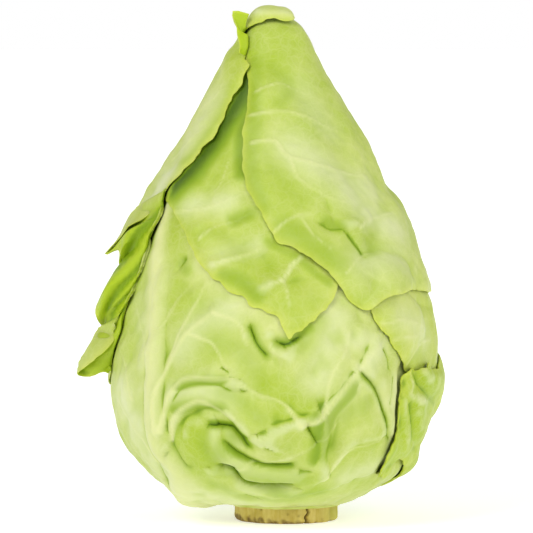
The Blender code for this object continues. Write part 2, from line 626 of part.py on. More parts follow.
def main():
    for old in list(bpy.data.objects):
        bpy.data.objects.remove(old, do_unlink=True)
    stem()
    heart()
    masks = [inside_grid(leaf.outline) for leaf in LEAVES]
    ground = np.zeros(masks[0].shape)
    for number, leaf in enumerate(LEAVES):
        later = masks[number + 1:] or [np.zeros(ground.shape, bool)]
        hidden = np.any(later, axis=0)
        ground = add_leaf(leaf, ground, hidden)


main()
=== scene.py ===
"""The looks of the pointed cabbage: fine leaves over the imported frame, their skins, a stem and the light.

Every leaf is a sheet over a teardrop, as in the frame. A place on it is a bearing, in degrees from the front
and positive towards +X, and a way down from the tip, in millimetres along the teardrop. A leaf's height over
the teardrop is worked out on a grid of places, from the innermost leaf outwards, so that each lies on those
beneath it. Lengths are in millimetres until a mesh is made.
"""

import math
from dataclasses import dataclass, field

import bpy
import numpy as np
from mathutils.geometry import delaunay_2d_cdt
from mathutils.kdtree import KDTree
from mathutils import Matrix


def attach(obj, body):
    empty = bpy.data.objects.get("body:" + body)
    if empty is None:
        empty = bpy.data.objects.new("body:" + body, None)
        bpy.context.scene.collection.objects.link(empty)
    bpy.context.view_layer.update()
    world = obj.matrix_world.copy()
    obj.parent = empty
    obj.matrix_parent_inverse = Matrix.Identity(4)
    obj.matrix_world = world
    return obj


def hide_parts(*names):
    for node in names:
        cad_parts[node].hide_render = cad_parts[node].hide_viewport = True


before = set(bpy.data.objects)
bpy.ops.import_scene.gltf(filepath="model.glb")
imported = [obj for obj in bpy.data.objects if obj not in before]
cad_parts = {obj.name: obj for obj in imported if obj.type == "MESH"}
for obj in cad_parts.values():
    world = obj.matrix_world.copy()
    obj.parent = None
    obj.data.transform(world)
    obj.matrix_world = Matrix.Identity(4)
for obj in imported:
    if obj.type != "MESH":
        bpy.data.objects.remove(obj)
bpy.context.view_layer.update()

MM = 0.001

# The front view: 533 steps wide and high, with the head 515 of them tall
HEAD_HEIGHT = 218.0
STEPS_TALL = 515
STEP = HEAD_HEIGHT / STEPS_TALL
STEPS_WIDE = 533
AXIS_COLUMN = 273
GROUND_ROW = 520
STEM_COLUMN = 286
VIEW_MIDDLE = 266.5
VIEW_FROM = 2000.0
VIEW_RISE = math.radians(3)
MIDDLE_X = (VIEW_MIDDLE - STEM_COLUMN) * STEP
MIDDLE_Z = (GROUND_ROW - VIEW_MIDDLE) * STEP
SEEN_TRIES = 8
MOST_ACROSS = 0.995  # of the radius, for a place at the outline as seen from the front

# The tight head of inner leaves: (radius, height), from the tip down and in to the stem
HEART_PROFILE = [
    (0, 210.4), (5.5, 209.4), (10.5, 205.4), (14, 199), (18, 191), (24.5, 178), (32, 164), (39.5, 149.5),
    (47.5, 135), (53.5, 120), (58.5, 105), (62.5, 88), (65, 70), (65, 52), (60.5, 36), (50, 23),
    (37.5, 15), (23.6, 10.4), (21.4, 7.4),
]
FOOT_LENGTH = 3.7  # the last stretch of the profile, down the stem's side
PROFILE_STEP = 0.5
WRAPPED = 5.0  # how far over the tight head the outer leaves lie
AXIS_BEND = 15.0  # the length over which the head's axis moves over from the stem's
LEAST_RADIUS = 3.0  # near the tip, bearings are as far apart as at this radius
SETTLE_LENGTH = 16.0  # over which leaves draw together towards the stem
SETTLED = 0.4  # what is left there of their height over the head

STEM_RADIUS = 21.9
STEM_TOP = 9.8

# The grid of places, and the fine leaves' build
GRID_DOWN = 0.6
GRID_COLUMNS = 900
LEAF_GAP = 0.25
SHARP_ANGLE = math.radians(60)


def smoothstep(low, high, value):
    part = np.clip((value - low) / (high - low), 0, 1)
    return part * part * (3 - 2 * part)


def parts(count):
    """Parts of the way from 0 to just before 1, one to a row."""
    return (np.arange(count) / count)[:, None]


def with_ends(points):
    """The points with one more at each end, carried straight on."""
    points = np.array(points, float)
    return np.vstack([2 * points[0] - points[1], points, 2 * points[-1] - points[-2]])


def bend(a, b, c, d, t):
    """The point at part t of the way from b to c on the Catmull-Rom curve through four points."""
    return 0.5 * (2 * b + (c - a) * t + (2 * a - 5 * b + 4 * c - d) * t**2 + (3 * b - a - 3 * c + d) * t**3)


def smooth_line(points, step):
    """Points about a step apart on the Catmull-Rom curve through the given ones."""
    ends, out = with_ends(points), []
    for a, b, c, d in zip(ends, ends[1:], ends[2:], ends[3:]):
        count = max(1, math.ceil(np.linalg.norm((c - b)[:2]) / step))
        out.append(bend(a, b, c, d, parts(count)))
    return np.vstack([*out, ends[-2:-1]])


def along_curve(points, where):
    """The Catmull-Rom curve through rows of points, read at fractional row numbers."""
    ends = with_ends(points)
    first = np.clip(np.floor(where).astype(int), 0, len(points) - 2)
    a, b, c, d = (ends[first + k] for k in range(4))
    return bend(a, b, c, d, (where - first)[:, None])


def head_curve():
    """(way down, radius, height, outward normal's two parts) along the teardrop's outline."""
    line = smooth_line(HEART_PROFILE, PROFILE_STEP)
    line[:, 0] = np.maximum(line[:, 0], 0)
    along = np.gradient(line, axis=0)
    along /= np.linalg.norm(along, axis=1)[:, None]
    down = np.concatenate([[0], np.cumsum(np.linalg.norm(np.diff(line, axis=0), axis=1))])
    return down, line[:, 0], line[:, 1], -along[:, 1], along[:, 0]


DOWN, RADIUS, HEIGHT, OUT_RADIAL, OUT_UP = head_curve()
LENGTH = DOWN[-1]
MAP_REACH = np.expm1(np.concatenate([[0], np.cumsum(np.diff(DOWN) / np.hypot(RADIUS[1:], LEAST_RADIUS))]))


def radius_at(down):
    return np.interp(down, DOWN, RADIUS)


def axis_at(down):
    """How far to the right of the stem's middle the head's axis is."""
    part = np.clip((LENGTH - FOOT_LENGTH - down) / AXIS_BEND, 0, 1)
    return (AXIS_COLUMN - STEM_COLUMN) * STEP * part * part * (3 - 2 * part)


def place(bearing, down, lift):
    """Points in space, in millimetres, of places given as bearing in radians, way down and lift."""
    lift = lift * (1 - (1 - SETTLED) * smoothstep(LENGTH - SETTLE_LENGTH, LENGTH, down))
    radius = radius_at(down) + lift * np.interp(down, DOWN, OUT_RADIAL)
    height = np.interp(down, DOWN, HEIGHT) + lift * np.interp(down, DOWN, OUT_UP)
    return np.stack([axis_at(down) + radius * np.sin(bearing), -radius * np.cos(bearing), height], -1)


# Ways of giving a place. Each returns (bearing in degrees, way down in millimetres).


def seen(column, row):
    """The place seen from the front at a column and row of the front view."""
    radius = RADIUS + WRAPPED * OUT_RADIAL
    height = HEIGHT + WRAPPED * OUT_UP
    nearer = 0.0
    for _ in range(SEEN_TRIES):
        share = 1 - nearer / VIEW_FROM
        level = MIDDLE_Z + (VIEW_MIDDLE - row) * STEP * share + nearer * math.tan(VIEW_RISE)
        down = np.interp(-level, -height, DOWN)
        across = MIDDLE_X + (column - VIEW_MIDDLE) * STEP * share - axis_at(down)
        wide = np.interp(down, DOWN, radius)
        bearing = math.asin(max(-MOST_ACROSS, min(MOST_ACROSS, across / wide)))
        nearer = wide * math.cos(bearing)
    return math.degrees(bearing), float(down)


def path(*numbers):
    """Places seen from the front, given one after another as column, row."""
    return [seen(column, row) for column, row in zip(numbers[::2], numbers[1::2])]


def at(bearing, height):
    """The place at a bearing and at a height on the tight head."""
    return bearing, float(np.interp(-height, -HEIGHT, DOWN))


def near_tip(bearing, down):
    return bearing, down


def at_stem(bearing):
    return bearing, LENGTH


def spot(column, row, nearer):
    """The point in space seen at a column and row, that far in front of the head's axis."""
    share = 1 - nearer / VIEW_FROM
    x = MIDDLE_X + (column - VIEW_MIDDLE) * STEP * share
    z = MIDDLE_Z + (VIEW_MIDDLE - row) * STEP * share + nearer * math.tan(VIEW_RISE)
    return x, -nearer, z


# The grid of places


ROWS = np.arange(0, LENGTH + GRID_DOWN, GRID_DOWN)
BEARINGS = np.radians(np.arange(GRID_COLUMNS) * 360 / GRID_COLUMNS - 180)
ROW_RADIUS = np.maximum(radius_at(ROWS), LEAST_RADIUS)
COLUMN_WIDTH = ROW_RADIUS * 2 * math.pi / GRID_COLUMNS


def rippled(points, wavelength, seed, waves=9):
    """Smooth waviness, mostly within -1 and 1: a sum of plane waves in directions drawn from the seed."""
    draw = np.random.default_rng(seed)
    total = np.zeros(points.shape[:-1])
    for _ in range(waves):
        way = draw.normal(size=3)
        way *= 2 * math.pi / wavelength / np.linalg.norm(way) * draw.uniform(0.75, 1.3)
        total += np.cos(points @ way + draw.uniform(0, 2 * math.pi))
    return total / math.sqrt(waves)


GRID_BEARING, GRID_LEVEL = np.meshgrid(BEARINGS, ROWS)
GRID_POINTS = place(GRID_BEARING, GRID_LEVEL, 0.0)


def widest(values, reach):
    """The highest value within reach of each place."""
    out = values.copy()
    for _ in range(math.ceil(reach / GRID_DOWN)):
        out = np.maximum(out, np.maximum(np.vstack([out[1:], out[-1:]]), np.vstack([out[:1], out[:-1]])))
    for row, width in enumerate(COLUMN_WIDTH):
        left = min(GRID_COLUMNS // 2, math.ceil(reach / width))
        line, done = out[row], 0
        while left:
            step = min(left, done + 1)
            line = np.maximum(line, np.maximum(np.roll(line, step), np.roll(line, -step)))
            done, left = done + step, left - step
        out[row] = line
    return out


def softened(values, reach):
    """The values averaged twice over a window of plus and minus reach."""
    out = values.astype(float)
    half = max(1, round(reach / GRID_DOWN))
    for _ in range(2):
        tall = np.vstack([np.repeat(out[:1], half, 0), out, np.repeat(out[-1:], half, 0)])
        total = np.vstack([np.zeros((1, GRID_COLUMNS)), np.cumsum(tall, 0)])
        out = (total[2 * half + 1:] - total[:-2 * half - 1]) / (2 * half + 1)
        for row, width in enumerate(COLUMN_WIDTH):
            side = min(GRID_COLUMNS // 2 - 1, max(1, round(reach / width)))
            line = np.concatenate([out[row][-side:], out[row], out[row][:side]])
            total = np.concatenate([[0], np.cumsum(line)])
            out[row] = (total[2 * side + 1:] - total[:-2 * side - 1]) / (2 * side + 1)
    return out


def read(values, bearing, down):
    """The grid's values at places, between its own."""
    u = (np.degrees(bearing) + 180) / 360 * GRID_COLUMNS
    v = np.clip(down / GRID_DOWN, 0, len(ROWS) - 1.001)
    u0, v0 = np.floor(u).astype(int), np.floor(v).astype(int)
    fu, fv = u - u0, v - v0
    a, b = u0 % GRID_COLUMNS, (u0 + 1) % GRID_COLUMNS
    upper = values[v0, a] * (1 - fu) + values[v0, b] * fu
    lower = values[v0 + 1, a] * (1 - fu) + values[v0 + 1, b] * fu
    return upper * (1 - fv) + lower * fv


def off_line(bearing, down, line):
    """(distance, signed side, part of the way along) of places from a line of (bearing in degrees, down)."""
    angle, level = np.radians(line[:, 0]), line[:, 1]
    best = np.full(bearing.shape, 1e9)
    side = np.zeros(bearing.shape)
    part = np.zeros(bearing.shape)
    scale = np.maximum(radius_at(down), LEAST_RADIUS)
    for i in range(len(line) - 1):
        x = ((bearing - angle[i] + math.pi) % (2 * math.pi) - math.pi) * scale
        y = down - level[i]
        dx, dy = (angle[i + 1] - angle[i]) * scale, level[i + 1] - level[i]
        t = np.clip((x * dx + y * dy) / (dx * dx + dy * dy + 1e-9), 0, 1)
        away = np.hypot(x - t * dx, y - t * dy)
        nearer = away < best
        best = np.where(nearer, away, best)
        side = np.where(nearer, x * dy - y * dx, side)
        part = np.where(nearer, (i + t) / (len(line) - 1), part)
    return best, side, part


def window(line, reach):
    """The grid's rows and columns that lie within reach of a line."""
    low, high = line[:, 1].min() - reach, line[:, 1].max() + reach
    rows = np.flatnonzero((ROWS >= low) & (ROWS <= high))
    middle = math.radians((line[:, 0].min() + line[:, 0].max()) / 2)
    half = math.radians(np.ptp(line[:, 0])) / 2 + reach / ROW_RADIUS[rows].min()
    turned = (BEARINGS - middle + math.pi) % (2 * math.pi) - math.pi
    return np.ix_(rows, np.flatnonzero(np.abs(turned) <= half))


def map_point(bearing, down):
    """Where a place lies on a flat map of the head, with the tip in its middle. Small shapes keep angles."""
    away = np.interp(down, DOWN, MAP_REACH)
    return np.stack([away * np.sin(bearing), -away * np.cos(bearing)], -1)


def within(points, ring):
    """Whether each map point is inside the closed ring."""
    found = np.zeros(len(points), bool)
    for (x0, y0), (x1, y1) in zip(ring, np.roll(ring, -1, 0)):
        crossed = (points[:, 1] < y0) != (points[:, 1] < y1)
        with np.errstate(divide="ignore", invalid="ignore"):
            where = x0 + (points[:, 1] - y0) * (x1 - x0) / (y1 - y0)
        found ^= crossed & (points[:, 0] < where)
    return found


# A leaf's margin and its net of triangles
NOTCHES = 0.4  # the height of the margin's small waves, as a share of the broad ones'
NOTCH_LENGTH = 2.6
CALM_LENGTH = 8.0  # over which the margin's waves begin, away from the stem
TIP_EDGE = 0.45  # the edge of the triangles at the tip
EDGE_GROWTH = 0.05  # what each millimetre of radius adds to it
ROW_SPACING = 0.87  # in triangle edges
CLEARANCE = 0.6  # the least way from the margin to other points, in triangle edges



@dataclass
class Leaf:
    """One leaf, with its strokes of relief, its veins, and its strokes of pale colour and of painted shade.
    """

    name: str
    outline: list
    slot: str
    folds: list = field(default_factory=list)
    veins: list = field(default_factory=list)
    pale_and_shade: list = field(default_factory=list)
    facet: float = 1.0  # the edge of its triangles
    wavy: tuple = (0.5, 7.0)  # its margin's waves: (height, wavelength)
    stand: float = 0.3  # how far its middle stands off what is beneath
    swell: tuple = (0.35, 16.0)  # its broad unevenness: (height, wavelength)
    blister: tuple = (0.1, 5.0)  # its fine unevenness
    curl: float = 0.25  # how far its margin lifts
    edge_thick: float = 0.5
    thick: float = 1.0
    seed: int = 1
    # Beyond its margin: (first outline point, stations, strokes, the stations between which it turns over)
    strips: list = field(default_factory=list)


def outline_ring(leaf):
    """Places round a leaf's margin, and for each how far along the given outline it is."""
    corners = np.array([*leaf.outline, leaf.outline[0]])
    corners[:, 0] = np.degrees(np.unwrap(np.radians(corners[:, 0])))
    turn = corners[-1] - corners[0]
    ends = np.vstack([corners[-2] - turn, corners, corners[1] + turn])
    out, where = [], []
    for number, (a, b, c, d) in enumerate(zip(ends, ends[1:], ends[2:], ends[3:])):
        level = (b[1] + c[1]) / 2
        length = math.hypot(math.radians(c[0] - b[0]) * radius_at(level), c[1] - b[1])
        count = max(2, round(length / finer(leaf.facet, level)))
        out.append(bend(a, b, c, d, parts(count)))
        where.append(number + np.arange(count) / count)
    places, where = np.vstack(out), np.concatenate(where)
    bearing, down = np.radians(places[:, 0]), np.clip(places[:, 1], 0, LENGTH)
    points = place(bearing, down, 0.0)
    height, wavelength = leaf.wavy
    small_waves = NOTCHES * rippled(points, NOTCH_LENGTH, leaf.seed + 51)
    moved = height * (rippled(points, wavelength, leaf.seed + 50) + small_waves)
    moved *= smoothstep(0, CALM_LENGTH, LENGTH - down)
    for first, stations, *_ in leaf.strips:
        moved[(where >= first - 1) & (where <= first + len(stations))] = 0
    flat = map_point(bearing, down)
    along = np.roll(flat, -1, 0) - np.roll(flat, 1, 0)
    along /= np.linalg.norm(along, axis=1)[:, None] + 1e-12
    scale = np.interp(down, DOWN, np.gradient(MAP_REACH, DOWN))
    flat = flat + np.stack([along[:, 1], -along[:, 0]], 1) * (moved * scale)[:, None]
    bearing = np.arctan2(flat[:, 0], -flat[:, 1])
    down = np.minimum(np.interp(np.hypot(*flat.T), MAP_REACH, DOWN), LENGTH)
    return bearing, down, where


def finer(facet, down):
    """The edge of a leaf's triangles, which is less near the tip."""
    return np.minimum(facet, TIP_EDGE + EDGE_GROWTH * radius_at(down))


def inside_grid(ring_bearing, ring_down):
    """Whether each place of the grid is inside the closed ring of places."""
    bearing = np.unwrap(np.append(ring_bearing, ring_bearing[0]))
    level = np.append(ring_down, ring_down[0])
    toggles = np.zeros((len(ROWS) + 1, GRID_COLUMNS), int)
    unit = 2 * math.pi / GRID_COLUMNS
    for b0, b1, d0, d1 in zip(bearing, bearing[1:], level, level[1:]):
        low, high = min(b0, b1), max(b0, b1)
        column = np.arange(math.ceil((low + math.pi) / unit), math.ceil((high + math.pi) / unit))
        if len(column):
            part = (column * unit - math.pi - b0) / (b1 - b0)
            crossing = np.ceil((d0 + part * (d1 - d0)) / GRID_DOWN).astype(int)
            np.add.at(toggles, (np.clip(crossing, 0, len(ROWS)), column % GRID_COLUMNS), 1)
    tip_inside = abs(bearing[-1] - bearing[0]) > math.pi
    return (np.cumsum(toggles, 0)[:-1] + tip_inside) % 2 == 1


def filled(leaf, ring_bearing, ring_down):
    """(bearing, down, triangles, each one's number in the ring or -1) of a net within a leaf's margin."""
    ring = map_point(ring_bearing, ring_down)
    bearing, down, level = [], [], finer(leaf.facet, 0) / 2
    while level < LENGTH:
        edge = finer(leaf.facet, level)
        count = max(3, round(2 * math.pi * radius_at(level) / edge))
        bearing.append((np.arange(count) + len(down) % 2 / 2) * 2 * math.pi / count - math.pi)
        down.append(np.full(count, level))
        level += edge * ROW_SPACING
    bearing, down = np.concatenate(bearing), np.concatenate(down)
    inside = within(map_point(bearing, down), ring)
    bearing, down = bearing[inside], down[inside]
    near = near_ring(place(bearing, down, 0.0), place(ring_bearing, ring_down, 0.0))
    clear = near > CLEARANCE * finer(leaf.facet, down)
    bearing, down = bearing[clear], down[clear]
    flat = [*map(tuple, ring), *map(tuple, map_point(bearing, down))]
    net = delaunay_2d_cdt(flat, [], [list(range(len(ring)))], 1, 0.0)
    source = np.array([origins[0] for origins in net[3]])
    bearing = np.concatenate([ring_bearing, bearing])[source]
    down = np.concatenate([ring_down, down])[source]
    triangles = np.array(net[2])
    (ax, ay), (bx, by), (cx, cy) = map_point(bearing, down)[triangles].transpose(1, 2, 0)
    inward = (bx - ax) * (cy - ay) < (cx - ax) * (by - ay)
    triangles[inward] = triangles[inward][:, ::-1]
    return bearing, down, triangles, np.where(source < len(ring), source, -1)


def near_ring(points, ring):
    """How near each point is to the ring's points."""
    tree = KDTree(len(ring))
    for number, corner in enumerate(ring):
        tree.insert(corner, number)
    tree.balance()
    return np.array([tree.find(point)[2] for point in points])


# Strokes on the grid
STROKE_STEP = 2.0  # between the points of a stroke's line
TINT_STEP = 3.0
STROKE_REACH = 3.0  # how far from its line a stroke is worked out, in widths
TINT_REACH = 2.5
CREASE_POWER = 1.25  # 2 is round, and less is narrow at the bottom
VEIN_FINER = 0.55  # what every vein's width and paint are multiplied by
VEIN_FAINTER = 0.85
VEIN_FADE = 0.5  # the part of a vein's relief and paint that it has lost at its end
SIDE_VEIN = (1.5, 0.6, 0.8, 0.75)  # its width at start and end, rise and paint
FORK_VEIN = (0.8, 0.4, 0.35, 0.5)
SIDE_BEND = 1.3  # how much a side vein bends upwards
SIDE_STOPS = (0.3, 0.65, 1.0)  # the parts of its way where its line has points
FORK_STOPS = (0.42, 0.75)  # where it forks
FORK_TURN = 0.3  # how far a fork turns, as a share of its vein's turn
FORK_CLIMB = (0.1, 0.35)
# How much side veins differ from each other
START_SPREAD = (-4, 4)
TURN_SPREAD = (0.85, 1.15)
CLIMB_SPREAD = (0.8, 1.2)
WOBBLE = (-2, 2)


def drawn(strokes, widths, step, reach):
    """For each stroke its numbers, the part of the grid near it, and what off_line says of places there.

    The widths are a slice of the numbers.
    """
    for *numbers, places in strokes:
        line = smooth_line(places, step)
        near = window(line, reach * max(numbers[widths]))
        yield *numbers, near, *off_line(GRID_BEARING[near], GRID_LEVEL[near], line)


def stroked(strokes):
    """The sum of strokes on the grid: (height at start and end, width on its left and right, places).

    Raised strokes are round, and sunk ones are narrow at the bottom like a crease.
    """
    total = np.zeros(GRID_BEARING.shape)
    for first, last, left, right, near, away, side, part in drawn(
            strokes, slice(2, 4), STROKE_STEP, STROKE_REACH):
        power = 2.0 if first > 0 else CREASE_POWER
        shape = np.exp(-((away / np.where(side > 0, left, right)) ** power))
        total[near] += (first + (last - first) * part) * shape
    return total


def veined(veins):
    """(relief, paint) of veins on the grid: (width at start and end, rise, paint, places)."""
    relief, paint = np.zeros(GRID_BEARING.shape), np.zeros(GRID_BEARING.shape)
    for first, last, rise, shade, near, away, _, part in drawn(veins, slice(2), STROKE_STEP, STROKE_REACH):
        width = VEIN_FINER * (first + (last - first) * part)
        shown = np.exp(-((away / width) ** 2)) * (1 - VEIN_FADE * part)
        relief[near] = np.maximum(relief[near], rise * shown)
        paint[near] = np.maximum(paint[near], VEIN_FAINTER * shade * shown)
    return relief, paint


def painted_pale_or_shade(pale_and_shade, way):
    """How pale, or for way -1 how strongly painted with shade, each grid place is: (amount, width at left and
    right, places).
    """
    total = np.zeros(GRID_BEARING.shape)
    chosen = [tint for tint in pale_and_shade if tint[0] * way > 0]
    for amount, left, right, near, away, side, _ in drawn(chosen, slice(1, 3), TINT_STEP, TINT_REACH):
        shown = amount * way * np.exp(-((away / np.where(side > 0, left, right)) ** 2))
        total[near] = np.maximum(total[near], shown)
    return total


def side_veins(rib, heights, turn, climb, seed):
    """Veins that leave a midrib, given by its bearings at the stem and the tip, to both sides and climb."""
    draw = np.random.default_rng(seed)
    out = []
    for height in heights:
        bearing = rib[0] + (rib[1] - rib[0]) * height / HEAD_HEIGHT
        for way in (-1, 1):
            start = height + draw.uniform(*START_SPREAD)
            far = way * turn * draw.uniform(*TURN_SPREAD)
            up = climb * draw.uniform(*CLIMB_SPREAD)
            line = [at(bearing, start)]
            for part in SIDE_STOPS:
                line.append(at(bearing + far * part, start + up * part**SIDE_BEND + draw.uniform(*WOBBLE)))
            out.append((*SIDE_VEIN, line))
            for part in FORK_STOPS:
                root = bearing + far * part, start + up * part**SIDE_BEND
                end = at(root[0] + far * FORK_TURN, root[1] - climb * draw.uniform(*FORK_CLIMB))
                out.append((*FORK_VEIN, [at(*root), end]))
    return out


# The leaves' margins, once round each, counterclockwise on the flat map

FRONT_OUTLINE = [
    at_stem(-80), at_stem(10), at_stem(116), at(110, 30), at(84, 30), *path(379, 478, 390, 462, 397, 446,
    399, 420, 401, 400, 405, 366), at(66, 82), at(62, 98), at(46, 112), at(28, 106), at(10, 99), at(-12, 110),
    at(-32, 128), at(-46, 148), at(-57, 148), at(-66, 124), at(-73, 98), at(-80, 76), at(-92, 56),
    at(-102, 36), at(-98, 20),
]
OVER_OUTLINE = [
    *path(167, 200, 176, 216, 184, 234, 194, 255, 208, 272, 226, 288, 243, 298, 252, 306, 264, 311, 274, 316,
    281, 324, 285, 331, 288, 340, 296, 334, 304, 328, 319, 316, 329, 306, 334, 298, 340, 287), at(38, 112),
    at(38, 138), at(26, 170), at(-10, 188), at(-60, 196), at(-120, 196), at(-156, 178), at(-178, 148),
    at(-190, 108), at(-196, 58), at(-190, 23), at_stem(-187), at_stem(-147), at(-135, 28), at(-126, 58),
    at(-114, 93), at(-92, 120), at(-70, 136),
]
RIGHT_OUTLINE = [
    *path(372, 309, 374, 317, 377, 325, 388, 339, 399, 354, 406, 363, 418, 374), at(80, 56), at(96, 46),
    at(114, 34), at_stem(131), at_stem(148), at(148, 38), at(146, 78), at(142, 110), at(120, 132),
    at(86, 136), at(60, 126), at(46, 112), at(42, 98),
]
LOW_RIGHT_OUTLINE = [
    *path(411, 369, 406, 376, 404, 388, 401, 402, 401, 416, 401, 430, 397, 444, 389, 458, 378, 474, 386, 478,
    396, 471, 405, 464), at(94, 21), at(104, 16), at_stem(113), at_stem(134), at(134, 32), at(126, 48),
    at(113, 62), at(98, 70), *path(434, 371, 430, 366, 422, 370),
]
CAP_OUTLINE = [
    near_tip(-58, 19), *path(243, 58, 246, 74, 247, 88, 246, 103, 242, 140, 243, 172, 247, 188, 255, 201,
    264, 217, 272, 231, 273, 236, 277, 241, 289, 244, 305, 254, 321, 265, 335, 279, 343, 291, 354, 304,
    364, 310, 372, 308, 381, 300, 396, 295, 410, 290, 419, 290), at(78, 96), at(96, 94), at(114, 82),
    at(126, 54), at(135, 32), at(151, 13), at(172, 13), at(176, 43), at(186, 88), at(194, 133), at(204, 170),
    near_tip(225, 14), near_tip(262, 9), near_tip(284, 12),
]

# The left leaf's front margin from the tip down, where it has strips that turn up and back. A station of a
# strip is (place on the margin, point halfway or None, point on the free edge, how far a pleat stands out).
TIP_STRIP = [
    (near_tip(-52, 12), None, spot(249, 14, 10), 0.0),
    (near_tip(-56, 13.4), None, spot(232, 11, 7), 0.0),
    (near_tip(-52, 14.6), None, spot(236, 22, 9), 0.0),
    (seen(246, 34), None, spot(237, 32, 12), 0.0),
    (seen(246, 44), None, spot(239, 43, 15), 0.0),
    (seen(243, 54), None, spot(240, 53, 18), 0.0),
]
FLAP = [
    (seen(168, 190), None, spot(164, 197, 25), 0.0),
    (seen(165, 197), spot(137, 207, 2), spot(146, 217, 18), -0.5),
    (seen(162, 205), spot(127, 222, 0), spot(129, 227, 15), -1.5),
    (seen(160, 212), spot(124, 238, 4), spot(105, 254, 6), 0.5),
    (seen(158, 220), None, spot(119, 250, 9), 2.0),
    (seen(152, 232), None, spot(119, 262, 11), 2.5),
    (seen(148, 243), None, spot(118, 272, 6), -2.0),
    (seen(143, 258), None, spot(110, 282, 9), 0.5),
    (seen(138, 272), None, spot(98, 304, 12), 2.5),
    (seen(133, 285), None, spot(98, 319, 12), 1.0),
    (seen(128, 300), None, spot(104, 330, 5), -2.5),
    (seen(124, 312), None, spot(114, 336, 20), 0.0),
    (seen(120, 325), spot(99, 328, 7), spot(109, 347, 21), 0.0),
    (seen(117, 335), spot(92, 341, 8), spot(102, 355, 21), 0.0),
    (seen(114, 345), spot(86, 352, 8), spot(93, 361, 18), 0.0),
    (seen(112, 353), spot(82, 362, 8), spot(77, 374, 10), 0.5),
    (seen(110, 360), None, spot(90, 377, 9), 1.0),
    (seen(109, 366), None, spot(102, 372, 12), -0.5),
    (seen(109, 371), None, spot(107, 373, 15), 0.0),
]
# (height, width, places on the flap as a station's number and the part of the way to the free edge)
FLAP_FOLDS = [
    (-2.4, 2.2, [(1.4, 0.10), (3.0, 0.25), (5.2, 0.50), (7.0, 0.65)]),
    (1.6, 1.8, [(2.6, 0.02), (4.6, 0.22), (6.6, 0.45), (8.6, 0.75)]),
    (-1.8, 1.6, [(3.6, 0.04), (5.2, 0.14), (7.4, 0.28), (9.6, 0.66)]),
    (1.2, 1.6, [(5.6, 0.02), (7.6, 0.12), (9.4, 0.4), (10.2, 0.8)]),
    (-2.0, 1.8, [(7.6, 0.02), (8.8, 0.2), (10.0, 0.5), (10.8, 0.9)]),
    (1.2, 1.8, [(9.2, 0.05), (10.2, 0.3), (11.0, 0.8)]),
    (-1.4, 1.6, [(10.6, 0.05), (11.2, 0.5)]),
    (-1.6, 2.0, [(13.6, 0.5), (14.6, 0.75), (15.4, 0.9)]),
]
LEFT_OUTLINE = [
    near_tip(66, 7.0), near_tip(40, 8.6), near_tip(14, 8.2), near_tip(-20, 8.4), near_tip(-42, 10.6),
    *(row[0] for row in TIP_STRIP), *path(242, 58, 247, 63, 248, 68, 243, 78, 231, 98, 216, 128, 202, 146,
    181, 176), *(row[0] for row in FLAP), at(-88, 58), at(-97, 52), at(-102, 38), at(-104, 22), at_stem(-106),
    at_stem(-144), at(-156, 34), at(-168, 73), at(-174, 118), at(-170, 158), at(-174, 188),
    near_tip(-190, 12), near_tip(-230, 8), near_tip(-262, 6.5),
]
# Which points of the outline the strips begin at
TIP_STRIP_START = 5
FLAP_START = TIP_STRIP_START + len(TIP_STRIP) + 8

# Midribs, from where they begin to the stem
FRONT_RIB = path(167, 196, 158, 240, 153, 300, 150, 360, 150, 410, 160, 450, 182, 485, 200, 503)
CAP_RIB = [near_tip(160, 20), at(152, 148), at(149, 78), at_stem(160)]
LEFT_RIB = [at(-132, 188), at(-130, 118), at(-126, 58), at_stem(-126)]
LOW_RIGHT_RIB = [at(104, 64), at(116, 38), at_stem(128)]
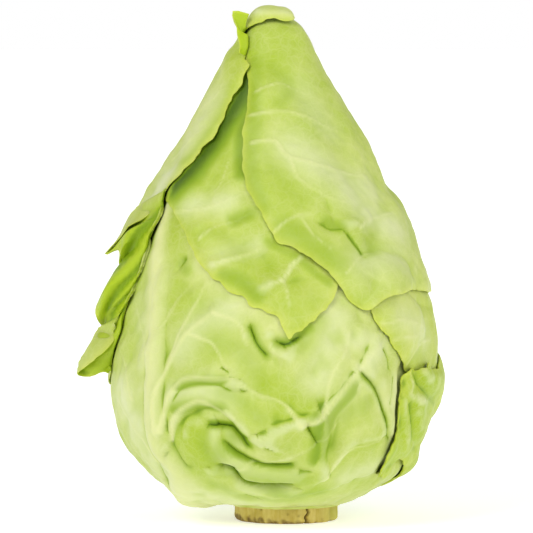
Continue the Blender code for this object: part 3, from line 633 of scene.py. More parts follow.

# What is drawn on the leaves. Places are in order along the stroke.
# Folds: (height at start and end, width on the left and right going along it, places)
# Veins: (width at start and end, rise, paint, places)
# Pale and shade strokes: (amount, positive for pale and negative for painted shade, width on the left and
# right, places)

FRONT_FOLDS = [
    (1.4, 4.2, 5.0, 5.0, FRONT_RIB),
    (-0.5, -1.8, 2.2, 2.2, path(168, 262, 165, 300, 163, 350, 163, 400, 170, 440, 184, 468)),
    (-0.5, -1.4, 1.4, 1.4, path(158, 262, 152, 300, 146, 350, 142, 400, 147, 440, 160, 472, 180, 496)),
    (2.4, 2.4, 26.0, 26.0, path(240, 430, 300, 450, 345, 400)),
    (1.1, 2.2, 5.6, 1.3, path(162, 430, 168, 400, 180, 385, 195, 379, 215, 379, 237, 386)),
    (0.9, 0.6, 2.4, 2.4, path(160, 430, 155, 400, 165, 370, 187, 333, 213, 313, 237, 307)),
    (1.7, 2.6, 6.3, 1.3, path(
        166, 446, 172, 424, 187, 409, 205, 402, 222, 403, 232, 415, 246, 431, 262, 440)),
    (1.2, 3.0, 8.4, 1.3, path(378, 338, 362, 370, 335, 402, 320, 416, 299, 423, 272, 431)),
    (-2.0, -2.0, 5.0, 5.0, path(352, 398, 338, 420, 332, 446)),
    (2.4, 1.9, 1.1, 5.0, path(320, 418, 324, 436, 320, 458, 324, 468)),
    (-4.0, -2.6, 1.6, 1.6, path(307, 426, 312, 434, 316, 441)),
    (1.7, 1.3, 1.4, 6.3, path(380, 437, 352, 443, 336, 460, 322, 476)),
    (1.2, 0.9, 1.2, 3.4, path(185, 433, 190, 423, 202, 423)),
    (-4.6, -3.4, 3.0, 3.0, path(208, 427, 230, 429, 240, 438, 248, 446)),
    (2.6, 2.3, 1.2, 5.6, path(215, 432, 218, 443, 230, 453, 246, 466, 264, 471, 294, 471)),
    (-2.6, -2.4, 1.5, 1.5, path(226, 444, 248, 460, 266, 465, 290, 464)),
    (-6.5, -5.6, 1.3, 1.6, path(222, 468, 232, 467, 240, 481, 256, 485, 270, 487, 288, 484)),
    (1.9, 1.7, 1.3, 4.8, path(216, 470, 233, 471, 243, 485, 262, 490, 290, 489)),
    (1.0, 0.9, 3.6, 1.0, path(312, 493, 336, 485, 370, 475)),
    (-1.2, -1.0, 1.6, 1.6, path(247, 497, 262, 503)),
    (-3.6, -2.6, 1.4, 1.8, path(361, 373, 377, 391, 384, 412, 388, 430, 394, 442)),
    (1.0, 1.0, 4.2, 1.0, path(358, 376, 372, 394, 380, 414, 384, 432)),
    (-2.2, -1.8, 1.6, 1.6, path(384, 350, 388, 358, 390, 368)),
    (-1.6, -1.2, 1.6, 1.6, path(396, 378, 392, 405)),
    (1.3, 1.2, 2.0, 2.0, path(270, 335, 277, 349, 289, 355, 294, 343)),
    (-3.0, -2.0, 2.6, 2.6, path(276, 341, 286, 346, 300, 336)),
    (-3.2, -2.0, 2.4, 1.6, path(249, 327, 255, 342, 266, 355)),
    (1.2, 1.0, 2.4, 2.4, path(294, 345, 290, 366, 285, 376)),
    (1.2, 0.7, 4.2, 2.0, path(320, 322, 308, 350, 297, 372, 286, 384)),
    (-1.4, -1.0, 1.0, 1.0, path(222, 369, 228, 373)),
    (-1.4, -1.0, 1.0, 1.0, path(230, 379, 240, 380)),
    (0.7, 1.0, 1.0, 3.6, path(237, 382, 255, 396, 280, 407, 302, 421)),
    (0.7, 0.6, 1.4, 1.4, path(252, 394, 253, 406, 256, 416)),
    (0.9, 0.6, 1.2, 3.4, path(252, 442, 270, 446, 286, 453)),
    (-2.2, -1.4, 2.0, 2.6, path(182, 258, 175, 270)),
    (1.2, 1.2, 3.4, 3.4, path(380, 478, 391, 460, 398, 440, 399, 420, 401, 394)),
]
FRONT_VEINS = [
    (6.5, 10.5, 0.0, 1.0, FRONT_RIB),
    (1.8, 1.0, 0.4, 1.1, path(162, 430, 168, 400, 180, 383, 195, 378, 233, 380)),
    (1.8, 1.0, 0.4, 1.1, path(160, 430, 155, 400, 165, 370, 187, 333, 213, 313)),
    (1.8, 1.1, 0.4, 1.1, path(170, 440, 174, 420, 186, 407, 205, 401, 235, 418)),
    (1.2, 0.6, 0.3, 0.9, path(165, 370, 176, 340, 196, 300, 206, 282)),
    (1.1, 0.6, 0.3, 0.9, path(187, 333, 212, 345, 226, 368)),
    (1.1, 0.6, 0.3, 0.9, path(213, 313, 236, 322, 246, 345)),
    (1.1, 0.6, 0.3, 0.9, path(300, 425, 282, 404, 258, 396, 240, 384)),
    (1.0, 0.5, 0.3, 0.9, path(326, 412, 330, 380, 346, 350, 350, 330)),
    (1.0, 0.5, 0.3, 0.9, path(322, 476, 345, 452, 366, 446, 384, 440)),
    (0.9, 0.5, 0.5, 0.7, path(129, 400, 124, 372, 118, 346)),
    (0.9, 0.5, 0.5, 0.7, path(160, 470, 140, 440, 125, 420, 115, 400)),
    (0.9, 0.5, 0.4, 0.6, path(152, 360, 140, 330, 133, 305)),
    (0.8, 0.4, 0.4, 0.6, path(158, 330, 176, 300, 190, 282)),
    (0.8, 0.4, 0.4, 0.6, path(270, 343, 275, 353, 288, 358)),
    (1.3, 0.8, 0.4, 1.0, path(300, 425, 320, 416, 350, 382, 378, 346)),
    (0.8, 0.4, 0.4, 0.6, path(222, 470, 262, 462, 300, 452, 340, 420)),
]
# Negative strokes are painted shade in creases and slits and along the flap's root; positive ones are the
# pale rib and belly of the leaf's own colour, and painted highlights along ridges.
FRONT_PALE_AND_SHADE = [
    (-0.5, 2.0, 2.0, path(167, 196, 160, 215, 151, 240, 143, 262, 131, 290, 120, 320, 112, 350)),
    (0.7, 14, 12, path(120, 400, 140, 440, 165, 475, 190, 495)),
    (0.45, 13, 9, path(140, 300, 146, 360, 150, 410)),
    (0.7, 7, 7, path(175, 395, 200, 392, 225, 396)),
    (0.6, 8, 8, path(180, 350, 200, 325, 225, 312)),
    (0.55, 8, 8, path(335, 320, 325, 350, 318, 380)),
    (0.6, 6, 3, path(378, 346, 350, 382, 320, 416)),
    (0.5, 5, 5, path(350, 340, 370, 340)),
    (0.7, 3.5, 3.5, path(402, 384, 400, 410, 398, 440, 385, 470)),
    (0.6, 6, 6, path(345, 478, 375, 470)),
    (0.7, 7, 7, path(215, 500, 250, 506)),
    (-1.5, 2.4, 1.8, path(212, 426, 230, 428, 240, 437, 248, 445)),
    (-3.6, 1.7, 1.5, path(226, 466, 233, 467, 241, 480, 257, 485, 285, 484)),
    (-1.6, 1.0, 1.4, path(282, 342, 290, 344, 298, 338)),
    (-1.5, 1.0, 1.4, path(250, 329, 257, 344, 265, 354)),
    (-1.3, 0.9, 1.2, path(309, 428, 314, 436)),
    (-0.9, 1.2, 4.0, path(318, 420, 318, 440, 316, 456)),
    (-0.8, 3.6, 1.4, path(180, 389, 200, 384, 222, 384)),
    (-0.7, 4.0, 1.6, path(176, 412, 196, 407, 222, 409)),
    (-1.3, 1.8, 1.6, path(228, 446, 246, 459, 266, 465, 290, 465)),
    (-1.4, 1.1, 1.8, path(362, 375, 377, 392, 384, 412, 388, 432)),
    (-0.6, 2.0, 6.0, path(352, 392, 330, 420, 326, 450)),
    (-0.5, 6.0, 6.0, path(250, 480, 290, 495, 320, 492)),
    (-0.4, 9.0, 9.0, path(215, 345, 240, 352, 262, 385)),
    (-0.4, 7.0, 7.0, path(345, 415, 368, 402)),
    (-0.5, 6.0, 6.0, path(205, 445, 215, 455, 232, 440)),
    (-0.4, 6.0, 6.0, path(222, 393, 240, 400, 262, 420)),
    (-0.45, 8.0, 8.0, path(205, 440, 215, 462, 240, 474, 300, 478)),
    (-0.42, 7.0, 7.0, path(215, 486, 245, 498, 290, 500, 315, 490)),
    (-0.35, 6.0, 6.0, path(180, 285, 200, 305)),
    (-0.7, 3.0, 3.0, path(250, 328, 258, 345, 266, 356)),
    (-0.7, 3.5, 3.5, path(278, 342, 290, 342, 310, 328)),
    (-0.4, 5.0, 5.0, path(300, 350, 320, 320)),
    (-0.5, 4.0, 4.0, path(186, 270, 178, 262)),
]
# The first stroke is a painted shadow under the left leaf's lifted margin, the other negative ones painted
# shade in hollows, folds and under margins; the positive ones make paler patches.
OVER_PALE_AND_SHADE = [
    (-1.5, 8.0, 4.0, path(244, 76, 238, 92, 226, 112, 212, 134, 198, 156, 178, 186)),
    (-0.8, 4.0, 4.0, path(241, 112, 238, 140, 240, 172)),
    (-0.35, 9.0, 9.0, path(222, 150, 215, 170)),
    (-0.35, 8.0, 8.0, path(205, 232, 228, 240, 246, 262)),
    (-0.3, 6.0, 6.0, path(292, 306, 310, 300, 320, 286)),
    (-0.6, 5.0, 5.0, path(232, 218, 247, 212)),
    (-0.5, 3.0, 3.0, path(268, 240, 300, 258, 330, 284)),
    (-0.6, 5.0, 5.0, path(225, 276, 240, 280, 256, 296)),
    (0.6, 6, 6, path(190, 205, 225, 200)),
    (0.5, 5, 5, path(225, 252, 255, 246)),
]
# Negative strokes are painted shade beside the cap's left edge and in its creases; the positive ones make
# broad paler patches.
CAP_PALE_AND_SHADE = [
    (-0.5, 6, 6, path(253, 60, 253, 120, 250, 170, 262, 205)),
    (-0.5, 8, 8, path(285, 225, 310, 245, 335, 262)),
    (-1.3, 0.8, 1.6, path(349, 234, 356, 243, 363, 253)),
    (-0.6, 4.0, 4.0, path(326, 222, 340, 227)),
    (0.6, 10, 10, path(290, 150, 330, 172, 372, 190)),
    (0.7, 9, 9, path(350, 190, 368, 208, 392, 228)),
    (0.5, 8, 8, path(360, 262, 395, 258)),
    (0.4, 8, 8, path(300, 90, 330, 130)),
    (-0.4, 6, 6, path(270, 64, 290, 84, 280, 104)),
    (-0.35, 6, 6, path(262, 150, 285, 185, 300, 205)),
    (-0.35, 5, 5, path(320, 262, 345, 248)),
]
# The 0.9 stroke is painted light on the shaded part above the flap; the negative one makes a darker green
# band inside the margin.
LEFT_PALE_AND_SHADE = [
    (0.5, 8, 8, path(212, 100, 190, 140, 160, 180)),
    (0.9, 8, 8, path(168, 176, 154, 196, 142, 214)),
    (-0.4, 4.5, 4.5, path(236, 88, 222, 112, 206, 136, 186, 162)),
]
RIGHT_TINTS = [
    (0.5, 8, 8, path(400, 318, 425, 335)),
]
OVER_FOLDS = [
    (1.8, 1.0, 3.4, 2.6, path(262, 290, 285, 274, 303, 254)),
    (1.4, 1.0, 3.0, 1.6, path(214, 266, 240, 257, 260, 247, 269, 238)),
    (-1.6, -1.2, 3.0, 3.0, path(235, 218, 247, 212)),
    (0.6, 3.4, 4.6, 4.6, [at(-150, 163), at(-163, 98), at_stem(-167)]),
]
OVER_VEINS = [
    (1.0, 0.5, 0.5, 0.7, path(302, 256, 292, 265, 282, 280, 271, 285, 261, 291)),
    (0.8, 0.4, 0.4, 0.5, path(282, 280, 287, 295, 290, 310)),
    (0.9, 0.5, 0.4, 0.6, path(170, 213, 195, 210, 220, 200, 244, 190)),
    (0.9, 0.5, 0.5, 0.6, path(214, 266, 240, 257, 260, 247)),
    (0.8, 0.4, 0.4, 0.5, path(200, 240, 215, 225, 238, 218)),
    (0.7, 0.4, 0.3, 0.5, path(226, 160, 220, 178, 206, 196)),
]
RIGHT_FOLDS = [
    (0.8, 1.4, 5.0, 5.0, [at(120, 126), at(126, 78), at_stem(139)]),
    (3.0, 2.0, 14.0, 14.0, [at(82, 90), at(82, 66)]),
    (-1.2, -0.8, 2.6, 2.6, path(404, 292, 418, 302, 430, 308)),
]
RIGHT_VEINS = [
    (0.8, 0.5, 0.5, 0.7, path(380, 325, 400, 321, 425, 328)),
    (0.8, 0.5, 0.5, 0.7, path(410, 365, 420, 345, 434, 338)),
    (0.8, 0.5, 0.5, 0.6, path(392, 340, 412, 336, 428, 328)),
]
CAP_FOLDS = [
    (-2.2, -1.6, 1.2, 2.6, path(323, 224, 331, 229, 344, 229, 350, 236, 363, 252)),
    (-1.2, -1.0, 2.6, 2.6, path(327, 202, 331, 212, 334, 221)),
    (1.6, 1.2, 2.8, 2.8, path(346, 225, 360, 224, 369, 215)),
    (1.5, 1.0, 5.0, 5.0, path(296, 238, 330, 256, 356, 286)),
    (-1.0, -0.8, 2.0, 2.0, path(345, 275, 360, 258, 385, 252, 405, 262, 410, 275)),
    (1.4, 1.0, 3.0, 3.0, path(372, 306, 381, 299, 396, 294, 404, 291)),
    (1.0, 2.0, 4.6, 4.6, CAP_RIB),
    (0.2, 2.4, 16.0, 16.0, [at(80, 196), at(80, 156)]),
]
CAP_VEINS = [
    (1.0, 0.6, 0.6, 0.8, path(252, 143, 275, 142, 290, 158, 330, 168, 370, 175)),
    (0.9, 0.5, 0.5, 0.7, path(250, 115, 290, 113, 340, 130)),
    (0.9, 0.5, 0.5, 0.7, path(273, 233, 286, 222, 300, 215, 315, 213)),
    (0.8, 0.4, 0.4, 0.6, path(290, 158, 300, 180, 326, 196, 352, 204)),
    (0.8, 0.4, 0.4, 0.6, path(256, 92, 280, 84, 306, 92)),
    (0.8, 0.4, 0.4, 0.6, path(345, 275, 360, 258, 385, 252, 405, 262)),
    (0.8, 0.4, 0.4, 0.6, path(358, 228, 372, 218, 396, 212)),
    (0.8, 0.4, 0.4, 0.6, path(300, 215, 312, 236, 330, 250)),
    (2.6, 4.6, 0.4, 0.9, CAP_RIB),
    *side_veins((155, 150), (42, 62, 88, 106, 132, 148), 30, 26, 31),
]
LOW_RIGHT_FOLDS = [
    (1.6, 0.4, 5.0, 5.0, LOW_RIGHT_RIB),
    (1.9, 0.2, 4.6, 2.0, [*path(409, 372, 412, 385, 411, 393, 417, 400, 432, 404), at(88, 46)]),
    (1.8, 0.4, 4.0, 1.6, path(406, 404, 408, 420, 410, 443, 410, 458)),
    (-1.7, -0.2, 2.0, 2.0, [*path(418, 372, 421, 384, 428, 394), at(82, 50)]),
    (-1.9, -0.3, 2.2, 2.2, path(413, 404, 416, 422, 416, 440, 418, 454)),
    (1.7, 0.2, 5.0, 2.6, [*path(425, 370, 431, 384), at(84, 56), at(94, 50)]),
    (1.6, 0.2, 5.6, 3.0, [*path(421, 410, 424, 428), at(84, 32), at(92, 26)]),
    (-1.0, -0.2, 2.6, 2.6, [at(80, 44), at(92, 38), at(104, 34)]),
    (0.4, 0.8, 3.0, 3.0, path(403, 378, 401, 412, 400, 430, 388, 458, 377, 474)),
]
# Painted shade along the margin and in the valleys of the folds.
LOW_RIGHT_SHADE = [
    (-0.45, 2.4, 2.4, path(406, 376, 402, 402, 401, 430, 390, 458, 380, 474)),
    (-0.5, 2.4, 2.4, [*path(418, 372, 421, 384, 428, 394), at(82, 50)]),
    (-0.5, 2.4, 2.4, path(413, 404, 416, 422, 416, 440)),
]
LOW_RIGHT_VEINS = [
    (0.7, 0.4, 0.3, 0.6, path(412, 372, 414, 385, 412, 393, 417, 399, 431, 403)),
    (2.2, 3.4, 0.3, 0.8, LOW_RIGHT_RIB),
    (0.8, 0.4, 0.3, 0.6, [at(112, 50), at(98, 50), at(88, 56)]),
    (0.8, 0.4, 0.3, 0.6, [at(116, 38), at(104, 34), at(90, 38)]),
    (0.8, 0.4, 0.3, 0.6, [at(126, 26), at(112, 22), at(98, 26)]),
]
LEFT_FOLDS = [
    (1.0, 4.6, 4.6, 4.6, LEFT_RIB),
    (0.8, 0.8, 3.0, 3.0, [near_tip(-66, 10), near_tip(-56, 14)]),
    (1.4, 1.4, 1.6, 1.6, [near_tip(-40, 7), near_tip(20, 7), near_tip(46, 8)]),
    (3.0, 2.2, 4.0, 4.0, [near_tip(-60, 4), near_tip(0, 3), near_tip(60, 4)]),
    (0.5, 0.7, 3.0, 3.0, path(247, 64, 243, 78, 231, 98, 216, 128, 202, 146)),
    (1.0, 4.5, 6.0, 6.0, [at(-88, 156), at(-96, 138), at(-98, 120)]),
]
LEFT_VEINS = [
    (2.8, 5.0, 0.4, 0.9, LEFT_RIB),
    *side_veins((-126, -133), (36, 56, 82, 99, 123, 140, 156), 30, 28, 32),
    (0.8, 0.4, 0.4, 0.6, path(200, 110, 214, 96, 226, 76)),
    (0.8, 0.4, 0.4, 0.6, path(172, 160, 190, 140, 210, 124)),
]

# From the innermost leaf to the outermost
LEAVES = [
    Leaf("leaf_front", FRONT_OUTLINE, "pale_leaf", FRONT_FOLDS, FRONT_VEINS, FRONT_PALE_AND_SHADE, facet=0.85,
         stand=2.4, swell=(0.5, 15.0), blister=(0.16, 5.5), seed=11),
    Leaf("leaf_over", OVER_OUTLINE, "green_leaf", OVER_FOLDS, OVER_VEINS, OVER_PALE_AND_SHADE, stand=1.4, seed=12),
    Leaf("leaf_right", RIGHT_OUTLINE, "green_leaf", RIGHT_FOLDS, RIGHT_VEINS, RIGHT_TINTS, stand=1.8,
         seed=13),
    Leaf("leaf_low_right", LOW_RIGHT_OUTLINE, "green_leaf", LOW_RIGHT_FOLDS, LOW_RIGHT_VEINS,
         LOW_RIGHT_SHADE, wavy=(0.9, 8.0), stand=2.2, seed=14),
    Leaf("leaf_cap", CAP_OUTLINE, "green_leaf", CAP_FOLDS, CAP_VEINS, CAP_PALE_AND_SHADE, wavy=(0.25, 7.0), stand=1.8,
         seed=15),
    Leaf("leaf_left", LEFT_OUTLINE, "bright_leaf", LEFT_FOLDS, LEFT_VEINS, LEFT_PALE_AND_SHADE, stand=0.9, curl=0.06,
         edge_thick=0.35, seed=16,
         strips=[(TIP_STRIP_START, TIP_STRIP, [], (-2, -1)), (FLAP_START, FLAP, FLAP_FOLDS, (0.9, 2.4))]),
]

# How a leaf lies and how thick it is
MARGIN_FADE = 1.8  # the width over which a leaf's thickness and paint change at its margin
EDGE_FADE = 5.0  # the width over which folds and the stand-off fade towards a margin
HIDDEN_FLATTER = 0.7  # the part of its relief that a leaf loses where later leaves cover it
FLOOR_REACH = 1.2  # a leaf clears what is beneath it within this many triangle edges
SEAT_SOFTENING = 2.6
CURL_WAVES = 12.0
THICKER = 1.0  # added to a leaf's thickness at the stem
THICKER_REACH = 25.0

# What a leaf's painted shade and highlights are drawn from: hollows and creases get painted shade, ridges a
# painted highlight
PIT_REACH = 4.0
PIT_DEPTH = 2.0
CREASE_REACH = 1.6
CREASE_DEPTH = 0.55
CREASE_RANGE = (0.3, 1.3)
RIDGE_RANGE = (0.2, 1.2)
RIDGE_HIGHLIGHT = 0.6

# The strips beyond a margin
STRIP_ROWS = 7
STATION_LENGTH = 6.0  # about how far apart a strip's stations are
STRIP_LENGTH = 20.0  # about how far its free edge is from the body
BULGE = 0.16  # how far a strip stands out halfway, as a share of its reach
STRIP_WAVES = (0.4, 7.0)  # height and wavelength of its waves
PLEAT_WAY = np.array([-0.3, -0.95, 0.0])  # a pleat stands out this way
FREE_PLEAT = 0.6  # the part of a pleat that is left at the free edge
TO_VIEWER = np.array([0.0, -1.0, 0.0])
FULL_REACH = 8.0  # a strip shorter than this rolls less
ROLL_FORWARD = 0.4
ROLL_OUT = 1.7
FOLD_START = 0.3  # the part of its length over which a strip's folds begin
STRIP_RIM_GLOW = 0.86  # where its painted glow of light at the free edge begins
ROOT_SHADE = 0.8  # how strong its painted shade is where it leaves the body
ROOT_SHADE_END = 0.4


def strip_strokes(strokes, at_station, part):
    """The relief at each row and column of a strip, from strokes: (height, width, (station, part) places)."""
    station, share = np.meshgrid(at_station, part)
    total = np.zeros(station.shape)
    for height, width, places in strokes:
        line = smooth_line(np.array(places) * (STATION_LENGTH, STRIP_LENGTH), 1.0)
        best = np.full(station.shape, 1e9)
        for x, y in line:
            best = np.minimum(best, np.hypot(station * STATION_LENGTH - x, share * STRIP_LENGTH - y))
        total += height * np.exp(-((best / width) ** 2))
    return total


def strip_rows(leaf, strip, where, ring_points, forward, outward):
    """(ring numbers, rows of points, relief, how much of its inner face is seen) of a strip."""
    first, stations, strokes, turned_over = strip
    chosen = np.flatnonzero((where >= first) & (where <= first + len(stations) - 1))
    at_station = where[chosen] - first
    crest, forward, outward = ring_points[chosen], forward[chosen], outward[chosen]
    free = along_curve([row[2] for row in stations], at_station)
    pleat = np.interp(at_station, np.arange(len(stations)), [row[3] for row in stations])[:, None]
    halfway = []
    for number, (_, middle, end, _) in enumerate(stations):
        near = np.abs(at_station - number).argmin()
        reach = np.array(end) - crest[near]
        plain = crest[near] + 0.5 * reach + BULGE * np.linalg.norm(reach) * outward[near]
        halfway.append(plain if middle is None else middle)
    middle = along_curve(halfway, at_station) + PLEAT_WAY * pleat
    short = np.clip(np.linalg.norm(free - crest, axis=1) / FULL_REACH, 0.1, 1)[:, None]
    knee = crest + short * (ROLL_FORWARD * forward + ROLL_OUT * outward)
    height, wavelength = STRIP_WAVES
    waves = rippled(free, wavelength, leaf.seed + 70)[:, None] * outward * height * short
    end = free + waves + FREE_PLEAT * PLEAT_WAY * pleat
    controls = [2 * crest - knee, crest, knee, middle, end, 2 * free - middle]
    rows = [bend(*four, t) for four in zip(controls, controls[1:], controls[2:], controls[3:])
            for t in np.arange(STRIP_ROWS) / STRIP_ROWS]
    rows = np.array([*rows[1:], end])
    part = (np.arange(len(rows)) + 1) / len(rows)
    relief = strip_strokes(strokes, at_station, part) * smoothstep(0, FOLD_START, part)[:, None]
    inside = np.tile(smoothstep(*turned_over, at_station), (len(rows), 1))
    return chosen, rows + relief[:, :, None] * TO_VIEWER, relief, inside


def mesh_normals(points, triangles):
    """The direction that each point of a net of triangles faces."""
    corners = points[triangles]
    across = np.cross(corners[:, 1] - corners[:, 0], corners[:, 2] - corners[:, 0])
    facing = np.zeros(points.shape)
    for corner in range(3):
        np.add.at(facing, triangles[:, corner], across)
    return facing / (np.linalg.norm(facing, axis=1)[:, None] + 1e-12)


def grid_faces(numbers):
    """Two triangles for each cell of a grid of point numbers."""
    a, b = numbers[:-1, :-1].ravel(), numbers[:-1, 1:].ravel()
    c, d = numbers[1:, 1:].ravel(), numbers[1:, :-1].ravel()
    return np.concatenate([np.stack([b, a, d], 1), np.stack([b, d, c], 1)])


def with_strips(leaf, points, triangles, ring_number, where, normals):
    """(points, triangles, and the strips' part, relief and inside) with the leaf's strips added.

    The part is how far along its strip a point is, up to 1 at the free edge.
    """
    edge = np.flatnonzero(ring_number >= 0)
    order = edge[np.argsort(ring_number[edge])]
    ring_points, outward = points[order], normals[order]
    along = np.roll(ring_points, -1, 0) - np.roll(ring_points, 1, 0)
    along /= np.linalg.norm(along, axis=1)[:, None]
    forward = np.cross(along, outward)
    known = {(a, b) for t in triangles.tolist() for a, b in zip(t, t[1:] + t[:1])}
    if (order[0], order[1]) not in known:
        forward = -forward
    all_points, all_triangles, extra = [points], [triangles], []
    count = len(points)
    for strip in leaf.strips:
        chosen, rows, relief, inside = strip_rows(leaf, strip, where, ring_points, forward, outward)
        height, width = rows.shape[:2]
        added = count + np.arange(height * width).reshape(height, width)
        faces = grid_faces(np.vstack([order[chosen][None], added]))
        if (order[chosen[0]], order[chosen[1]]) not in known:
            faces = faces[:, ::-1]
        all_points.append(rows.reshape(-1, 3))
        all_triangles.append(faces)
        part = np.repeat((np.arange(height) + 1) / height, width)
        extra.append((part, relief.ravel(), inside.ravel()))
        count += height * width
    return np.concatenate(all_points), np.concatenate(all_triangles), *map(np.concatenate, zip(*extra))


def closed(points, triangles, thick):
    """(points, faces) of a sheet given by its inner side and its thickness."""
    outer = points + mesh_normals(points, triangles) * thick[:, None]
    count = len(points)
    edges = np.concatenate([triangles[:, [0, 1]], triangles[:, [1, 2]], triangles[:, [2, 0]]])
    forth = edges[:, 0] * count + edges[:, 1]
    back = edges[:, 1] * count + edges[:, 0]
    a, b = edges[~np.isin(forth, back)].T
    sides = np.concatenate([np.stack([a, b, b + count], 1), np.stack([a, b + count, a + count], 1)])
    return np.concatenate([points, outer]), np.concatenate([triangles + count, triangles[:, ::-1], sides])


def made(name, points, faces, material):
    """A smooth mesh object of points in millimetres, with its material."""
    mesh = bpy.data.meshes.new(name)
    mesh.vertices.add(len(points))
    mesh.vertices.foreach_set("co", (points * MM).astype(np.float32).ravel())
    mesh.loops.add(faces.size)
    mesh.loops.foreach_set("vertex_index", faces.astype(np.int32).ravel())
    mesh.polygons.add(len(faces))
    mesh.polygons.foreach_set("loop_start", np.arange(0, faces.size, 3, dtype=np.int32))
    mesh.update(calc_edges=True)
    mesh.validate()
    mesh.shade_smooth()
    mesh.set_sharp_from_angle(angle=SHARP_ANGLE)
    mesh.materials.append(material)
    piece = bpy.data.objects.new(name, mesh)
    bpy.context.scene.collection.objects.link(piece)
    return piece


def painted(piece, values):
    """Gives a piece's points named values that its material reads."""
    for name, value in values.items():
        layer = piece.data.attributes.new(name, "FLOAT", "POINT")
        layer.data.foreach_set("value", value.astype(np.float32))


def seated(leaf, ground, hidden, mask, vein_relief):
    """The height of a leaf's inner side on the grid, lying over the ground."""
    floor = widest(ground, FLOOR_REACH * leaf.facet) + LEAF_GAP
    body = np.clip(2 * softened(mask, EDGE_FADE) - 1, 0, 1)
    shown = 1 - HIDDEN_FLATTER * softened(hidden, EDGE_FADE)
    relief = stroked(leaf.folds) + vein_relief
    for extra_seed, (height, wavelength) in ((0, leaf.swell), (20, leaf.blister)):
        relief += height * rippled(GRID_POINTS, wavelength, leaf.seed + extra_seed)
    lifted = leaf.curl * (1 + rippled(GRID_POINTS, CURL_WAVES, leaf.seed + 30)) * (1 - body)
    seat = softened(floor, SEAT_SOFTENING) + leaf.stand * body + lifted + relief * shown
    return np.maximum(seat, floor)


def covered(inner, thick):
    """The height of a leaf's outer side, with its thickness square to its slope."""
    down_slope = np.gradient(inner, axis=0) / GRID_DOWN
    side_slope = np.gradient(inner, axis=1) / COLUMN_WIDTH[:, None]
    slope = np.minimum(np.hypot(down_slope, side_slope), 1)
    return inner + thick * np.sqrt(1 + slope**2)


def body_paint(leaf, inner, margin, vein_paint, bearing, down):
    """Named values at the places of a leaf's body: veins, a painted glow of light at the rim, painted shade
    in hollows, creases and shade strokes, and pale colour with painted highlights on ridges.
    """
    # Painted shade: hollows and creases are coloured darker green, as if shade fell in them. Painted
    # highlight: ridges are coloured paler, as if light fell on them.
    painted_pit_shade = np.clip((softened(inner, PIT_REACH) - inner) / PIT_DEPTH, 0, 1)
    fine_relief = (inner - softened(inner, CREASE_REACH)) / CREASE_DEPTH
    painted_pit_shade = np.maximum(painted_pit_shade, smoothstep(*CREASE_RANGE, -fine_relief))
    ridge_highlights = RIDGE_HIGHLIGHT * smoothstep(*RIDGE_RANGE, fine_relief)
    return {
        "vein": read(vein_paint, bearing, down),
        # Painted light: near the margin the leaf gets the yellow-green glow of light through its thin edge.
        "rim": 1 - read(margin, bearing, down),
        "shade_paint": read(np.maximum(painted_pit_shade, painted_pale_or_shade(leaf.pale_and_shade, -1)), bearing, down),
        "pale": read(np.maximum(painted_pale_or_shade(leaf.pale_and_shade, 1), ridge_highlights), bearing, down),
    }


def full_paint(body, part, relief, inside):
    """Named values on both sides of a leaf, from its body's and its strips' part, relief and inside."""
    count, extra = len(body["vein"]), len(part)
    beyond = {
        # Painted light: the glow through the thin rim at the strip's free edge.
        "rim": smoothstep(STRIP_RIM_GLOW, 1, part),
        # Painted shade where a strip leaves the body and in the valleys of its folds.
        "shade_paint": np.clip(ROOT_SHADE * smoothstep(ROOT_SHADE_END, 0.0, part) - relief, 0, 1),
    }
    values = {}
    for name, value in body.items():
        values[name] = np.tile(np.concatenate([value, beyond.get(name, np.zeros(extra))]), 2)
    values["shade_paint"][2 * count + extra:] = 0
    values["inside"] = np.concatenate([np.ones(count), inside, np.zeros(count + extra)])
    return values


def add_leaf(leaf, ground, hidden, material):
    """Makes a leaf over the ground, and returns the ground with it."""
    ring_bearing, ring_down, where = outline_ring(leaf)
    mask = inside_grid(ring_bearing, ring_down)
    margin = np.clip(2 * softened(mask, MARGIN_FADE) - 1, 0, 1)
    vein_relief, vein_paint = veined(leaf.veins)
    inner = seated(leaf, ground, hidden, mask, vein_relief)
    thicker = THICKER * np.exp(-(LENGTH - ROWS) / THICKER_REACH)
    thick = leaf.edge_thick + (leaf.thick - leaf.edge_thick) * margin + thicker[:, None]

    bearing, down, triangles, ring_number = filled(leaf, ring_bearing, ring_down)
    points = place(bearing, down, read(inner, bearing, down))
    part = relief = inside = np.zeros(0)
    if leaf.strips:
        normals = mesh_normals(points, triangles)
        points, triangles, part, relief, inside = with_strips(
            leaf, points, triangles, ring_number, where, normals)
    strip_thick = leaf.thick + (leaf.edge_thick - leaf.thick) * part
    all_thick = np.concatenate([read(thick, bearing, down), strip_thick])
    piece = made("cabbage_" + leaf.name, *closed(points, triangles, all_thick), material)
    body = body_paint(leaf, inner, margin, vein_paint, bearing, down)
    painted(piece, full_paint(body, part, relief, inside))
    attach(piece, "root")
    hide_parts(leaf.name)
    return np.where(mask, covered(inner, thick), ground)


# The cut stem

